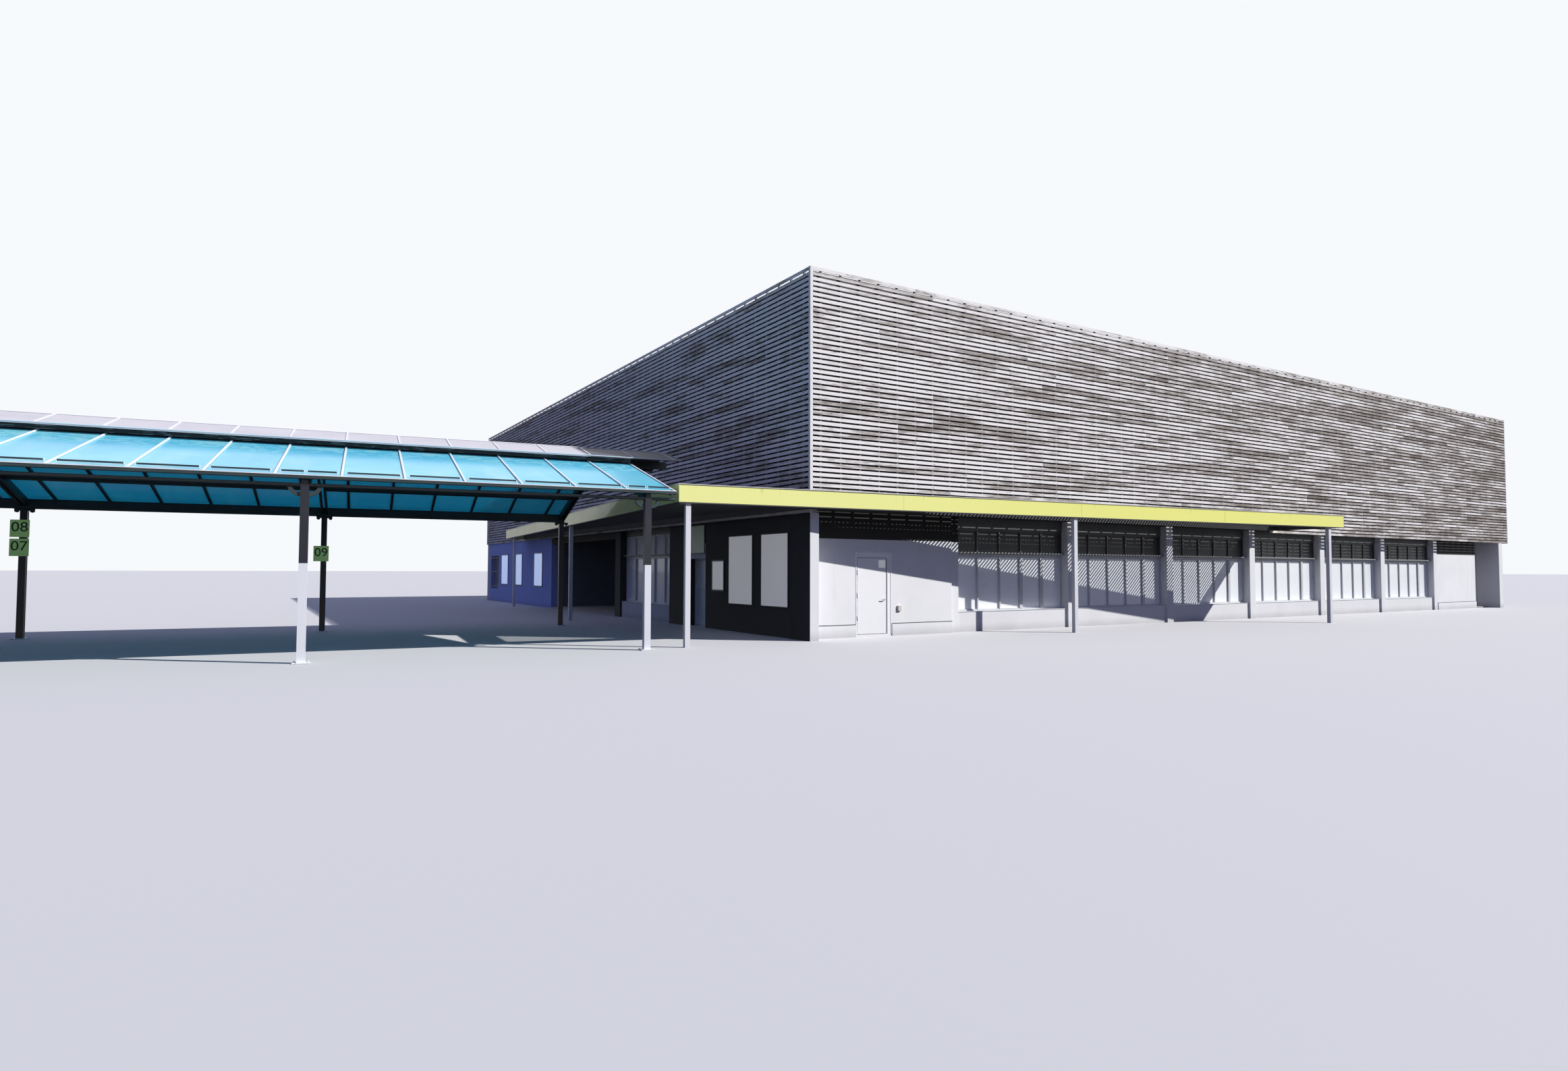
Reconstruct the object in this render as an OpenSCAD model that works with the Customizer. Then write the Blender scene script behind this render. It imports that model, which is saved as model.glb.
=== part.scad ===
// Supermarket building with a walkway canopy and a drive-through canopy.
// Half-scale model: every length is half of the real one, in millimetres.
// Plan coordinates start at the near corner: x along the front, y towards the back.

/* [Building] */
// Length of the front
front_l = 20430; // [20250:30:23000]
// Length of the sides
side_l = 16550; // [16450:50:19000]
// Height of the ground floor walls
storey_h = 1600; // [1580:10:1750]
// Thickness of the floor slab
floor_t = 30; // [20:5:40]
// How far the side and back walls stand back from the screen
wall_setback = 25; // [15:1:35]
// How far the front wall of the ground floor stands back under the screen
front_setback = 250; // [230:5:320]
// Height of the space behind the screen's lowest boards above the ground floor walls
hollow_h = 300; // [150:10:500]
// Depth of the side and back walls from the screen's face to the room
wall_d = 225; // [205:5:240]
// Thickness of inner walls and recess roofs
inner_t = 100; // [60:5:140]
// Height of the thickened plinth
plinth_h = 160; // [100:5:220]
// How far the plinth stands out from the wall
plinth_out = 12; // [4:1:14]
// Thickness of the roof
roof_t = 80; // [50:5:120]
// Depth of the roof's top below the top of the upper walls
roof_drop = 200; // [100:10:400]
// How far the screen rises above the upper walls
screen_rise = 230; // [100:10:400]
// How far the upper storey overhangs the right-hand wall
overhang = 365; // [260:5:450]

/* [Board screen] */
// Number of boards in the height of the screen
board_rows = 48; // [30:1:52]
// Height of a board
board_h = 50; // [40:1:56]
// Gap between two boards
board_gap = 13.3; // [8:0.1:20]
// Thickness of a board
board_t = 13; // [8:1:18]
// Underside of the lowest board
screen_z = 1550; // [1500:5:1560]
// Width of a batten behind the boards
batten_w = 22; // [14:1:40]
// Thickness of a batten
batten_t = 27; // [15:1:40]
// Spacing of the battens
batten_pitch = 500; // [300:10:600]

/* [Front piers and windows] */
// Place of the first pier
pier_x = 4875; // [4700:5:5000]
// Spacing of the piers
pier_pitch = 2437; // [2300:1:2480]
// Least length of the plain wall between the last pier and the alcove
end_wall_min = 1000; // [600:50:2000]
// Width of a pier
pier_w = 165; // [120:5:220]
// Width of the near corner pier
corner_w = 130; // [100:5:200]
// Left side of the first window
first_window_x = 2655; // [2300:5:2800]
// Width of the shallow strip beside the first window
strip_w = 150; // [80:5:200]
// Depth of the shallow strip
strip_d = 25; // [10:1:40]
// How far the windows stand back from the wall's face
window_inset = 120; // [90:5:140]
// How far the wall under the windows stands back from the piers
sill_setback = 35; // [10:1:60]
// Height of the window sill
sill_z = 280; // [240:5:340]
// Underside of the header over the windows
header_z = 1450; // [1400:5:1480]
// Height of the transom between the two rows of panes
transom_z = 1045; // [900:5:1150]
// Height of the transom
transom_h = 50; // [30:1:70]
// Width of the window bars
bar_w = 30; // [20:1:40]
// Thickness of the window frames
frame_t = 40; // [30:1:60]
// Thickness of the glass and of the upper panels
pane_t = 8; // [5:1:12]
// Width of a pane
pane_w = 450; // [380:10:560]

/* [Front end] */
// Width of the alcove at the right-hand end
alcove_w = 650; // [500:10:900]
// Depth of the alcove
alcove_d = 1000; // [700:50:1600]
// Width of the end pier
end_pier_w = 200; // [150:5:300]

/* [Service door] */
// Left side of the doorway
doorway_x = 862; // [600:2:1100]
// Width of the door leaf
leaf_w = 466; // [400:2:520]
// Height of the door leaf
leaf_h = 976; // [940:2:1060]
// Thickness of the door leaf
leaf_t = 25; // [20:1:32]
// Gap round the door leaf
leaf_gap = 6; // [5:0.5:8]
// Width of the door frame's post at the hinges
jamb_w = 26; // [22:1:40]
// Width of the door frame's post at the lock
lock_jamb_w = 88; // [60:1:110]
// Height of the door frame's head
head_h = 60; // [40:1:80]
// Radius of a hinge knuckle
knuckle_r = 6; // [5:0.5:8]
// Length of a hinge knuckle
knuckle_l = 30; // [20:1:40]
// Height of the door handle above the ground
handle_z = 475; // [450:5:560]

/* [Left side] */
// Near side of the entrance
entrance_y = 2850; // [2700:10:2950]
// Width of the entrance
entrance_w = 605; // [560:5:700]
// Height of the entrance
entrance_h = 1025; // [980:5:1100]
// Near side of the side window
side_window_y = 4140; // [4000:5:4300]
// Width of the side window
side_window_w = 2165; // [2000:5:2200]
// Near side of the loading recess
recess_y = 6565; // [6520:5:6800]
// Width of the loading recess
recess_w = 3935; // [3600:5:4200]
// Depth of the loading recess
recess_d = 2000; // [1400:50:2600]
// Underside of the lintel over the loading recess
lintel_z = 1420; // [1380:5:1450]
// Distance of the small rear window from the back wall
rear_window_in = 225; // [150:5:600]
// Width of the small rear window
rear_window_w = 850; // [600:10:1000]
// Sill height of the small rear window
rear_window_z = 340; // [300:5:500]
// Height of the small rear window
rear_window_h = 890; // [700:5:950]

/* [Posters and signs] */
// Thickness of a poster case
case_t = 14; // [8:1:20]
// Width of a poster case
case_w = 675; // [500:5:720]
// Height of a tall poster case
tall_case_h = 950; // [800:10:1000]
// Height of a low poster case
low_case_h = 790; // [600:10:900]
// Underside of the tall poster cases
tall_case_z = 380; // [300:10:450]
// Underside of the low poster cases
low_case_z = 460; // [400:10:600]

/* [Walkway canopy] */
// Turn of the walkway and drive-through canopies in plan
canopy_turn = -5.9; // [-7:0.1:-5]
// How far the canopy reaches to the left of the near corner
walk_left = 1750; // [1700:10:1900]
// How far the canopy's near corner lies in front of the building
walk_front = 40; // [20:5:100]
// Length of the canopy's front
walk_front_l = 11780; // [11500:20:12500]
// Length of the canopy's left side
walk_side_l = 12780; // [12000:20:13000]
// Underside of the fascia
fascia_z = 1592; // [1580:1:1620]
// Height of the fascia
fascia_h = 205; // [160:5:260]
// Thickness of the fascia
fascia_t = 20; // [12:1:30]
// Width of the flashing on the fascia
cap_w = 44; // [36:1:60]
// Thickness of the flashing
cap_t = 8; // [4:1:12]
// Width of the canopy's edge beams
beam_w = 40; // [30:1:60]
// Height of the canopy's edge beams
beam_h = 80; // [50:5:100]
// Width of a deck board
deck_board_w = 130; // [60:5:140]
// Spacing of the deck boards
deck_pitch = 190; // [150:5:240]
// Thickness of a deck board
deck_t = 14; // [10:1:20]
// Width of the canopy posts
walk_post_w = 60; // [50:2:80]
// Places of the posts along the canopy's front
front_post_at = [118, 5800, 11440];
// Places of the posts along the canopy's left side
side_post_at = [5730, 11800];

/* [Drive-through canopy] */
// Gap between the drive-through canopy and the walkway fascia
drive_gap = 80; // [50:5:100]
// How far the near eave lies in front of the walkway fascia
drive_front = 145; // [100:5:200]
// Width of a roof panel
panel_w = 537; // [480:1:560]
// Number of roof panels in the length
panel_count = 19; // [13:6:25]
// Roof panels between two frames
panels_per_frame = 6; // [4:1:6]
// Distance of the first frame from the end
frame_inset = 297; // [200:1:360]
// Width of the canopy over both eaves
drive_w = 4654; // [4400:2:5200]
// Height of the eaves
eave_z = 1696; // [1640:2:1760]
// Slope of the roof in degrees
roof_slope = 15.4; // [13:0.1:17]
// Plan width of a glazed slope
slope_w = 1828; // [1600:1:1900]
// Overlap of the raised ridge roof over the glazing
ridge_lap = 136; // [80:2:180]
// Height of the vent strip under the ridge roof
vent_h = 64; // [40:1:80]
// How far the ridge roof runs past the glazing at each end
ridge_run = 635; // [300:5:700]
// Thickness of the roof panels
glaze_t = 8; // [5:1:12]
// Width of the glazing bars
glaze_bar_w = 34; // [24:1:44]
// Height of the glazing bars
glaze_bar_h = 26; // [18:1:36]
// Thickness of the ridge roof
ridge_t = 20; // [12:1:30]
// Width of the posts
drive_post_w = 70; // [60:1:90]
// Distance of the posts from the eaves
drive_post_in = 75; // [60:1:100]
// Height of the far eave beam
eave_beam_h = 122; // [100:1:140]
// Width of the eave beams
eave_beam_w = 70; // [60:1:90]
// Depth of the board along each eave
eave_board_h = 66; // [40:1:90]
// Width of the white trim along each eave
trim_w = 12; // [8:1:16]
// Height of the rafters
rafter_h = 90; // [60:1:110]
// Width of each of the two rafters of a frame
rafter_w = 26; // [20:1:36]
// Slot between the two rafters of a frame
rafter_gap = 30; // [20:1:40]
// Height of the purlins
purlin_h = 60; // [40:1:75]
// Width of the purlins
purlin_w = 46; // [36:1:70]
// Height of the light bars under the glazing
sub_bar_h = 22; // [14:1:30]
// Width of the light bars under the glazing
sub_bar_w = 26; // [18:1:32]
// Height of the bars at the ends of the glazing
end_bar_h = 60; // [40:1:80]
// Outer radius of the curved arms at the near post heads
yoke_r = 108; // [80:1:120]
// Width of the curved arms
yoke_w = 36; // [24:1:46]
// Thickness of the curved arms
yoke_t = 30; // [20:1:40]
// Reach of the saddles at the far post heads from the post
saddle_l = 62; // [56:1:90]
// Radius of the round end of a saddle
saddle_r = 23; // [16:1:26]
// Width of a bay number plate
plate_w = 185; // [140:5:220]
// Height of a bay number plate
plate_h = 210; // [160:5:240]

/* [Hidden] */

board_pitch = board_h + board_gap;
screen_top = screen_z + board_rows * board_pitch - board_gap;
backing = board_t + batten_t;
upper_top = screen_top - screen_rise;
roof_top = upper_top - roof_drop;
end_pier_x = front_l - overhang - end_pier_w;
alcove_x = end_pier_x - alcove_w;
pier_count = floor((alcove_x - end_wall_min - pier_w - pier_x) / pier_pitch) + 1;
soffit_t = storey_h - screen_z;
hollow_top = storey_h + hollow_h;
wall_t = wall_d - wall_setback;
front_d = front_setback + wall_t;
inner_right = front_l - overhang - wall_t;
outer_right = front_l - overhang;
inner_back = side_l - wall_d;
last_pier_end = pier_x + (pier_count - 1) * pier_pitch + pier_w;
opening_w = leaf_w + 2 * leaf_gap;
doorway_w = jamb_w + opening_w + lock_jamb_w;
doorway_h = floor_t + 2 * leaf_gap + leaf_h + head_h;
leaf_x = doorway_x + jamb_w + leaf_gap;
leaf_z = floor_t + leaf_gap;
leaf_y = front_setback;
hinge_out = knuckle_r + 2;
hinge_x = leaf_x - leaf_gap / 2;
hinge_y = leaf_y - hinge_out;
hinge_heights = [0.2, 0.5, 0.8];
knuckle_gap = 0.5;
seat_gap = 0.2;
ridge_gap = 1;
header_out = 10;
recess_end = recess_y + recess_w;
side_window_end = side_window_y + side_window_w;
entrance_end = entrance_y + entrance_w;
rear_window_y = side_l - wall_d - rear_window_in - rear_window_w;
rear_wall_l = rear_window_y - recess_end;
deck_z = fascia_z + beam_h;
frame_pitch = panels_per_frame * panel_w;
frame_count = floor((panel_count - 1) / panels_per_frame) + 1;
drive_l = panel_count * panel_w;
rise = tan(roof_slope);
frame_depth = leaf_t + 40;
walk_post_in = fascia_t + walk_post_w / 2 + 2;
cap_start = cap_w - cap_t;
deck_start = fascia_t + deck_pitch - deck_board_w;
eave_beam_in = drive_post_in - eave_beam_w / 2;
beam_top = glaze_under(eave_beam_in) - seat_gap;
far_beam_z = beam_top - eave_beam_h;
near_beam_z = glaze_under(0) - seat_gap - eave_board_h;
frame_w = rafter_gap + 2 * rafter_w;
ridge_beam_w = 60;
rafter_start = drive_post_in + max(eave_beam_w, drive_post_w) / 2;
rafter_end = drive_w / 2 - ridge_beam_w / 2;
purlin_at = [0.5 * slope_w, slope_w - purlin_w];
eave_board_t = 16;
ridge_y = slope_w - ridge_lap;
eps = 0.01;

// Straight block from its low corner and its size
module block(low, size) {
    translate(low) cube(size);
}

// Carries a shape drawn along the front over to the left side
module on_left() {
    rotate([0, 0, 90]) mirror([0, 1, 0]) children();
}

// Carries a shape drawn along the front over to the back
module on_back() {
    translate([front_l, side_l, 0]) rotate([0, 0, 180]) children();
}

// Carries a shape drawn along the front over to the right side
module on_right() {
    translate([front_l, 0, 0]) rotate([0, 0, 90]) children();
}

// Plan coordinates moved so that the middle of the building is the origin
module placed() {
    translate([-front_l / 2, -side_l / 2, 0]) children();
}

// The walkway canopy's own frame: x along its front fascia, y along its left one
module on_walk() {
    translate([-walk_left, -walk_front, 0]) rotate([0, 0, canopy_turn]) children();
}

// Where the building's front and left faces lie in the walkway canopy's own frame
function front_face_at(x) = (walk_front - x * sin(canopy_turn)) / cos(canopy_turn);
function left_face_at(y) = (walk_left + y * sin(canopy_turn)) / cos(canopy_turn);
corner_at_x = walk_left * cos(canopy_turn) + walk_front * sin(canopy_turn);
corner_at_y = walk_front * cos(canopy_turn) - walk_left * sin(canopy_turn);

// Plan coordinates of a point of the walkway canopy's own frame
function plan_x(x, y) = x * cos(canopy_turn) - y * sin(canopy_turn) - walk_left;
function plan_y(x, y) = x * sin(canopy_turn) + y * cos(canopy_turn) - walk_front;

// The drive-through canopy's own frame: x along the eaves, y across them
module on_drive() {
    on_walk() translate([-drive_gap, -drive_front, 0]) mirror([1, 0, 0]) children();
}

// Section in y and z carried along x
module along_x(x, l) {
    translate([x, 0, 0]) rotate([90, 0, 90]) linear_extrude(l) children();
}

function pier_at(i) = pier_x + i * pier_pitch;
function bay_start(i) = i == 0 ? first_window_x : pier_at(i - 1) + pier_w;
function bay_end(i) = pier_at(i);
function frame_at(i) = frame_inset + i * frame_pitch;

// Height of the underside of the glazing at a distance from the eave
function glaze_under(y) = eave_z - glaze_t / cos(roof_slope) + rise * y;

// Repeats a shape drawn at the near eave for the far eave
module both_slopes() {
    let ($far = false) children();
    let ($far = true) translate([0, drive_w, 0]) mirror([0, 1, 0]) children();
}

// Where a slope starts: the near one at the end, the far one at the first frame
function slope_start() = $far ? frame_at(0) - frame_w / 2 : 0;
function slope_l() = drive_l - slope_start();
function beam_z() = $far ? far_beam_z : near_beam_z;

// Wall between the depths of its two faces; its top steps back behind the screens
module wall_block(x, l, z, face, back) {
    x0 = max(x, backing);
    x1 = min(x + l, front_l - backing);
    y0 = max(face, backing);
    block([x, face, z], [l, back - face, screen_z - z]);
    block([x0, y0, screen_z - eps], [x1 - x0, back - y0, storey_h - screen_z + eps]);
}

// Front wall with its plinth
module plinth_wall(x, l) {
    wall_block(x, l, 0, front_setback, front_d);
    block([x, front_setback - plinth_out, 0], [l, plinth_out + eps, plinth_h]);
}

module floor_slab() {
    color("gainsboro") {
        block([wall_d, front_d, 0], [inner_right - wall_d, inner_back - front_d, floor_t]);
        block([doorway_x, front_setback + frame_depth, 0],
            [doorway_w, wall_t - frame_depth + eps, floor_t]);
        block([alcove_x, front_setback, 0], [end_pier_x - alcove_x, wall_t + eps, floor_t]);
        on_left() block([recess_y, wall_setback, 0], [recess_w, wall_t + eps, floor_t]);
    }
}

module front_piers() {
    color("whitesmoke") {
        wall_block(0, corner_w, 0, 0, front_d);
        for (i = [0:pier_count - 1]) wall_block(pier_at(i), pier_w, 0, front_setback, front_d);
        wall_block(end_pier_x, end_pier_w, 0, 0, front_d);
    }
}

module front_walls() {
    color("whitesmoke") {
        plinth_wall(corner_w, doorway_x - corner_w);
        plinth_wall(doorway_x + doorway_w, first_window_x - strip_w - doorway_x - doorway_w);
        wall_block(first_window_x - strip_w - eps, strip_w + eps, 0, front_setback + strip_d, front_d);
        plinth_wall(last_pier_end, alcove_x - last_pier_end);
    }
}

// Wall over the service door, over the entrance and over the loading recess
module lintel_walls() {
    color("whitesmoke") {
        wall_block(doorway_x, doorway_w, doorway_h, front_setback, front_d);
        on_left() {
            wall_block(entrance_y, entrance_w, entrance_h, wall_setback, wall_d);
            wall_block(recess_y, recess_w, lintel_z, wall_setback, wall_d);
        }
    }
}

module sill_block(x, l, face) {
    block([x, face + sill_setback, 0], [l, wall_t - sill_setback, sill_z]);
}

module sill_walls() {
    color("whitesmoke") {
        for (i = [0:pier_count - 1])
            sill_block(bay_start(i), bay_end(i) - bay_start(i), front_setback);
        on_left() sill_block(side_window_y, side_window_w, wall_setback);
    }
}

// Header a little in front of the window's plane
module header_block(x, l, face) {
    out = window_inset - header_out;
    block([x, face + out, header_z], [l, wall_t - out, storey_h - header_z]);
}

module window_headers() {
    color("silver") {
        for (i = [0:pier_count - 1])
            header_block(bay_start(i), bay_end(i) - bay_start(i), front_setback);
        on_left() header_block(side_window_y, side_window_w, wall_setback);
    }
}

function pane_count(l) = max(1, ceil((l - bar_w) / (pane_w + bar_w) - 0.2));
function pane_size(l) = (l - bar_w) / pane_count(l) - bar_w;

// Frame of one window with a lower and an upper row, in a wall whose face is at the given depth
module window_frame(x, l, z, h, split, face) {
    y = face + window_inset;
    difference() {
        block([x, y, z], [l, frame_t, h]);
        for (k = [0:pane_count(l) - 1]) {
            px = x + bar_w + k * (pane_size(l) + bar_w);
            top = split > 0 ? split : z + h - bar_w;
            block([px, y - 1, z + bar_w], [pane_size(l), frame_t + 2, top - z - bar_w]);
            if (split > 0)
                block([px, y - 1, split + transom_h],
                    [pane_size(l), frame_t + 2, z + h - split - transom_h - bar_w]);
        }
    }
}

module window_frames() {
    color("silver") {
        for (i = [0:pier_count - 1])
            window_frame(bay_start(i), bay_end(i) - bay_start(i), sill_z, header_z - sill_z,
                transom_z, front_setback);
        on_left() {
            window_frame(side_window_y, side_window_w, sill_z, header_z - sill_z, transom_z,
                wall_setback);
            window_frame(entrance_y, entrance_w, 0, entrance_h, 0, wall_setback);
            window_frame(rear_window_y, rear_window_w, rear_window_z, rear_window_h, 0,
                wall_setback);
        }
    }
}

// Panes that fill one row of a window frame
module pane_row(x, l, z0, z1, face) {
    y = face + window_inset + (frame_t - pane_t) / 2;
    for (k = [0:pane_count(l) - 1])
        block([x + bar_w + k * (pane_size(l) + bar_w), y, z0], [pane_size(l), pane_t, z1 - z0]);
}

module window_panes() {
    color("aliceblue") {
        for (i = [0:pier_count - 1])
            pane_row(bay_start(i), bay_end(i) - bay_start(i), sill_z + bar_w, transom_z,
                front_setback);
        on_left() {
            pane_row(side_window_y, side_window_w, sill_z + bar_w, transom_z, wall_setback);
            pane_row(entrance_y, entrance_w, bar_w, entrance_h - bar_w, wall_setback);
            pane_row(rear_window_y, rear_window_w, rear_window_z + bar_w,
                rear_window_z + rear_window_h - bar_w, wall_setback);
        }
    }
}

module upper_panels() {
    color("dimgray") {
        for (i = [0:pier_count - 1])
            pane_row(bay_start(i), bay_end(i) - bay_start(i), transom_z + transom_h,
                header_z - bar_w, front_setback);
        on_left() pane_row(side_window_y, side_window_w, transom_z + transom_h, header_z - bar_w,
            wall_setback);
    }
}

module recess_side_walls() {
    color("gainsboro") {
        block([alcove_x - inner_t, front_d, floor_t],
            [inner_t, alcove_d - front_d, storey_h - floor_t]);
        for (y = [recess_y - inner_t, recess_end])
            block([wall_d, y, floor_t], [recess_d - wall_d, inner_t, storey_h - floor_t]);
    }
}

module recess_back_walls() {
    color("gainsboro") {
        block([alcove_x - inner_t, alcove_d, floor_t],
            [inner_right - alcove_x + inner_t, inner_t, storey_h - floor_t]);
        block([recess_d, recess_y - inner_t, floor_t],
            [inner_t, recess_w + 2 * inner_t, storey_h - floor_t]);
    }
}

// Slabs over the alcove, the recess and the space behind the front's lowest boards, and the
// underside of the right-hand overhang
module soffit_slabs() {
    color("gainsboro") {
        block([alcove_x - inner_t, front_d, storey_h],
            [inner_right - alcove_x + inner_t, alcove_d + inner_t - front_d, inner_t]);
        block([wall_d, backing, hollow_top - soffit_t],
            [inner_right - wall_d, front_setback - backing, soffit_t]);
        block([wall_d, recess_y - inner_t, storey_h],
            [recess_d + inner_t - wall_d, recess_w + 2 * inner_t, inner_t]);
        block([outer_right, backing, storey_h - soffit_t],
            [front_l - backing - outer_right, side_l - 2 * backing, soffit_t]);
    }
}

module left_walls() {
    color("slategray") on_left() {
        wall_block(front_d, entrance_y - front_d, 0, wall_setback, wall_d);
        wall_block(entrance_end, side_window_y - entrance_end, 0, wall_setback, wall_d);
        wall_block(side_window_end, recess_y - side_window_end, 0, wall_setback, wall_d);
    }
}

module left_rear_wall() {
    color("lightsteelblue") on_left() difference() {
        wall_block(recess_end, inner_back - recess_end, 0, wall_setback, wall_d);
        block([rear_window_y, wall_setback - 1, rear_window_z],
            [rear_window_w, wall_t + 2, rear_window_h]);
    }
}

module back_wall() {
    color("gainsboro")
        on_back()
            wall_block(overhang, front_l - overhang - wall_setback, 0, wall_setback, wall_d);
}

module right_wall() {
    color("gainsboro")
        block([inner_right, front_d, 0], [wall_t, inner_back - front_d, storey_h]);
}

module upper_wall(x, l, z) {
    block([x, backing, z], [l, wall_d - backing, upper_top - z]);
}

// Upper walls of the front and the back, and the dark wall over the front's windows
module upper_long_walls() {
    color("darkslategray") {
        upper_wall(backing, front_l - 2 * backing, hollow_top);
        block([backing, backing, storey_h], [wall_d - backing, wall_d - backing, hollow_h + eps]);
        block([inner_right, backing, storey_h],
            [front_l - backing - inner_right, wall_d - backing, hollow_h + eps]);
        block([inner_right, wall_d - eps, storey_h], [wall_t, front_d - wall_d, hollow_h]);
        block([wall_d, front_setback, storey_h], [inner_right - wall_d + eps, wall_t, hollow_h]);
        on_back() upper_wall(backing, front_l - 2 * backing, storey_h);
    }
}

module upper_end_walls() {
    color("darkslategray") {
        on_left() upper_wall(wall_d, side_l - 2 * wall_d, storey_h);
        on_right() upper_wall(wall_d, side_l - 2 * wall_d, storey_h);
    }
}

module roof_deck() {
    color("dimgray")
        block([wall_d, wall_d, roof_top - roof_t], [front_l - 2 * wall_d, side_l - 2 * wall_d, roof_t]);
}

// One side of the screen: separate boards from corner strip to corner strip
module screen(l) {
    for (k = [0:board_rows - 1])
        block([backing, 0, screen_z + k * board_pitch], [l - 2 * backing, board_t, board_h]);
}

// Battens that carry the boards, drawn along the front
module battens(l) {
    n = floor((l - 2 * backing - batten_w) / batten_pitch);
    start = (l - n * batten_pitch - batten_w) / 2;
    for (k = [0:n])
        block([start + k * batten_pitch, board_t, screen_z],
            [batten_w, batten_t, screen_top - screen_z]);
}

module front_screen() { color("darkgray") screen(front_l); }
module left_screen() { color("slategray") on_left() screen(side_l); }
module back_screen() { color("darkgray") on_back() screen(front_l); }
module right_screen() { color("darkgray") on_right() screen(side_l); }

module screen_battens() {
    color("dimgray") {
        battens(front_l);
        on_back() battens(front_l);
        on_left() battens(side_l);
        on_right() battens(side_l);
    }
}

module corner_strips() {
    color("silver")
        for (x = [0, front_l - backing], y = [0, side_l - backing])
            block([x, y, screen_z], [backing, backing, screen_top - screen_z]);
}

// Flashing on top of a straight fascia, outer face at y = 0
module flashing(x, l) {
    block([x, -cap_t, fascia_z + fascia_h], [l, cap_w, cap_t]);
}

module front_fascia() {
    color("yellowgreen") on_walk() {
        block([0, 0, fascia_z], [walk_front_l, fascia_t, fascia_h]);
        flashing(-cap_t, walk_front_l + 2 * cap_t);
    }
}

// Left fascia and the two short ones that return to the building
module side_fascias() {
    color("yellowgreen") on_walk() {
        on_left() {
            block([fascia_t, 0, fascia_z],
                [walk_side_l - 2 * fascia_t - seat_gap, fascia_t, fascia_h]);
            flashing(cap_start, walk_side_l - 2 * cap_start - seat_gap);
        }
        translate([walk_front_l, 0, 0]) mirror([1, 0, 0]) on_left() {
            block([fascia_t, 0, fascia_z],
                [front_face_at(walk_front_l - fascia_t) - fascia_t, fascia_t, fascia_h]);
            flashing(cap_start, front_face_at(walk_front_l - cap_start) - cap_start);
        }
        translate([0, walk_side_l, 0]) mirror([0, 1, 0]) {
            block([0, 0, fascia_z], [left_face_at(walk_side_l), fascia_t, fascia_h]);
            flashing(-cap_t, left_face_at(walk_side_l + cap_t) + cap_t);
        }
    }
}

module walk_post(x, y) {
    block([x - walk_post_w / 2, y - walk_post_w / 2, 0], [walk_post_w, walk_post_w, fascia_z]);
}

module walkway_posts() {
    color("silver") on_walk() {
        for (x = front_post_at) walk_post(x, walk_post_in);
        for (y = side_post_at) walk_post(walk_post_in, y);
    }
}

// Beams behind the fascias and along the building
module walkway_beams() {
    end_x = walk_front_l - fascia_t;
    end_y = walk_side_l - fascia_t;
    color("dimgray") {
        on_walk() {
            block([fascia_t, fascia_t, fascia_z], [walk_front_l - 2 * fascia_t, beam_w, beam_h]);
            block([fascia_t, fascia_t + beam_w + 1, fascia_z],
                [beam_w, end_y - fascia_t - beam_w - 1, beam_h]);
        }
        block([0, -beam_w, fascia_z],
            [plan_x(end_x, front_face_at(end_x) - beam_w) - 1, beam_w, beam_h]);
        block([-beam_w, 1, fascia_z],
            [beam_w, plan_y(left_face_at(end_y), end_y) - 2, beam_h]);
    }
}

// Deck boards square to the front fascia, from the building's near corner to the right
module front_deck() {
    start = corner_at_x + deck_pitch - deck_board_w;
    n = floor((walk_front_l - fascia_t - start - deck_board_w) / deck_pitch);
    color("dimgray") on_walk()
        for (x = [for (k = [0:n]) start + k * deck_pitch])
            block([x, fascia_t, deck_z], [deck_board_w, front_face_at(x) - fascia_t, deck_t]);
}

// Deck boards square to the left fascia, along the whole left side
module side_deck() {
    n = floor((walk_side_l - fascia_t - deck_start - deck_board_w) / deck_pitch);
    color("dimgray") on_walk()
        for (y = [for (k = [0:n]) deck_start + k * deck_pitch]) {
            far = y + deck_board_w;
            block([fascia_t, y, deck_z],
                [min(corner_at_x, left_face_at(far)) - fascia_t, deck_board_w, deck_t]);
        }
}

module drive_posts() {
    color("silver") on_drive() both_slopes()
        for (i = [0:frame_count - 1])
            block([frame_at(i) - drive_post_w / 2, drive_post_in - drive_post_w / 2, 0],
                [drive_post_w, drive_post_w, beam_z()]);
}

// Quarter of a ring that rises from a post's face to the beam, drawn to the right
module curved_arm() {
    intersection() {
        difference() {
            circle(r = yoke_r, $fn = 28);
            circle(r = yoke_r - yoke_w, $fn = 28);
        }
        translate([0, -yoke_r]) square(yoke_r);
    }
}

// Half of a saddle under the beam with its round end, drawn to the right
module saddle_half() {
    translate([0, -saddle_r]) square([saddle_l, saddle_r]);
    translate([saddle_l - saddle_r, -saddle_r]) circle(r = saddle_r, $fn = 16);
}

// Curved arms at the near post heads, saddles at the far ones
module post_brackets() {
    color("darkslategray") on_drive() both_slopes()
        for (i = [0:frame_count - 1], side = [0, 1])
            translate([frame_at(i), drive_post_in + yoke_t / 2, beam_z()])
                mirror([side, 0, 0]) translate([drive_post_w / 2, 0, 0])
                    rotate([90, 0, 0]) linear_extrude(yoke_t)
                        if ($far) saddle_half(); else curved_arm();
}

// Beams on the posts and the boards along the eaves
module eave_beams() {
    color("darkslategray") on_drive() both_slopes() {
        block([slope_start(), eave_beam_in, beam_z()],
            [slope_l(), eave_beam_w, beam_top - beam_z()]);
        block([slope_start(), 0, near_beam_z], [slope_l(), eave_board_t, eave_board_h]);
    }
}

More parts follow.
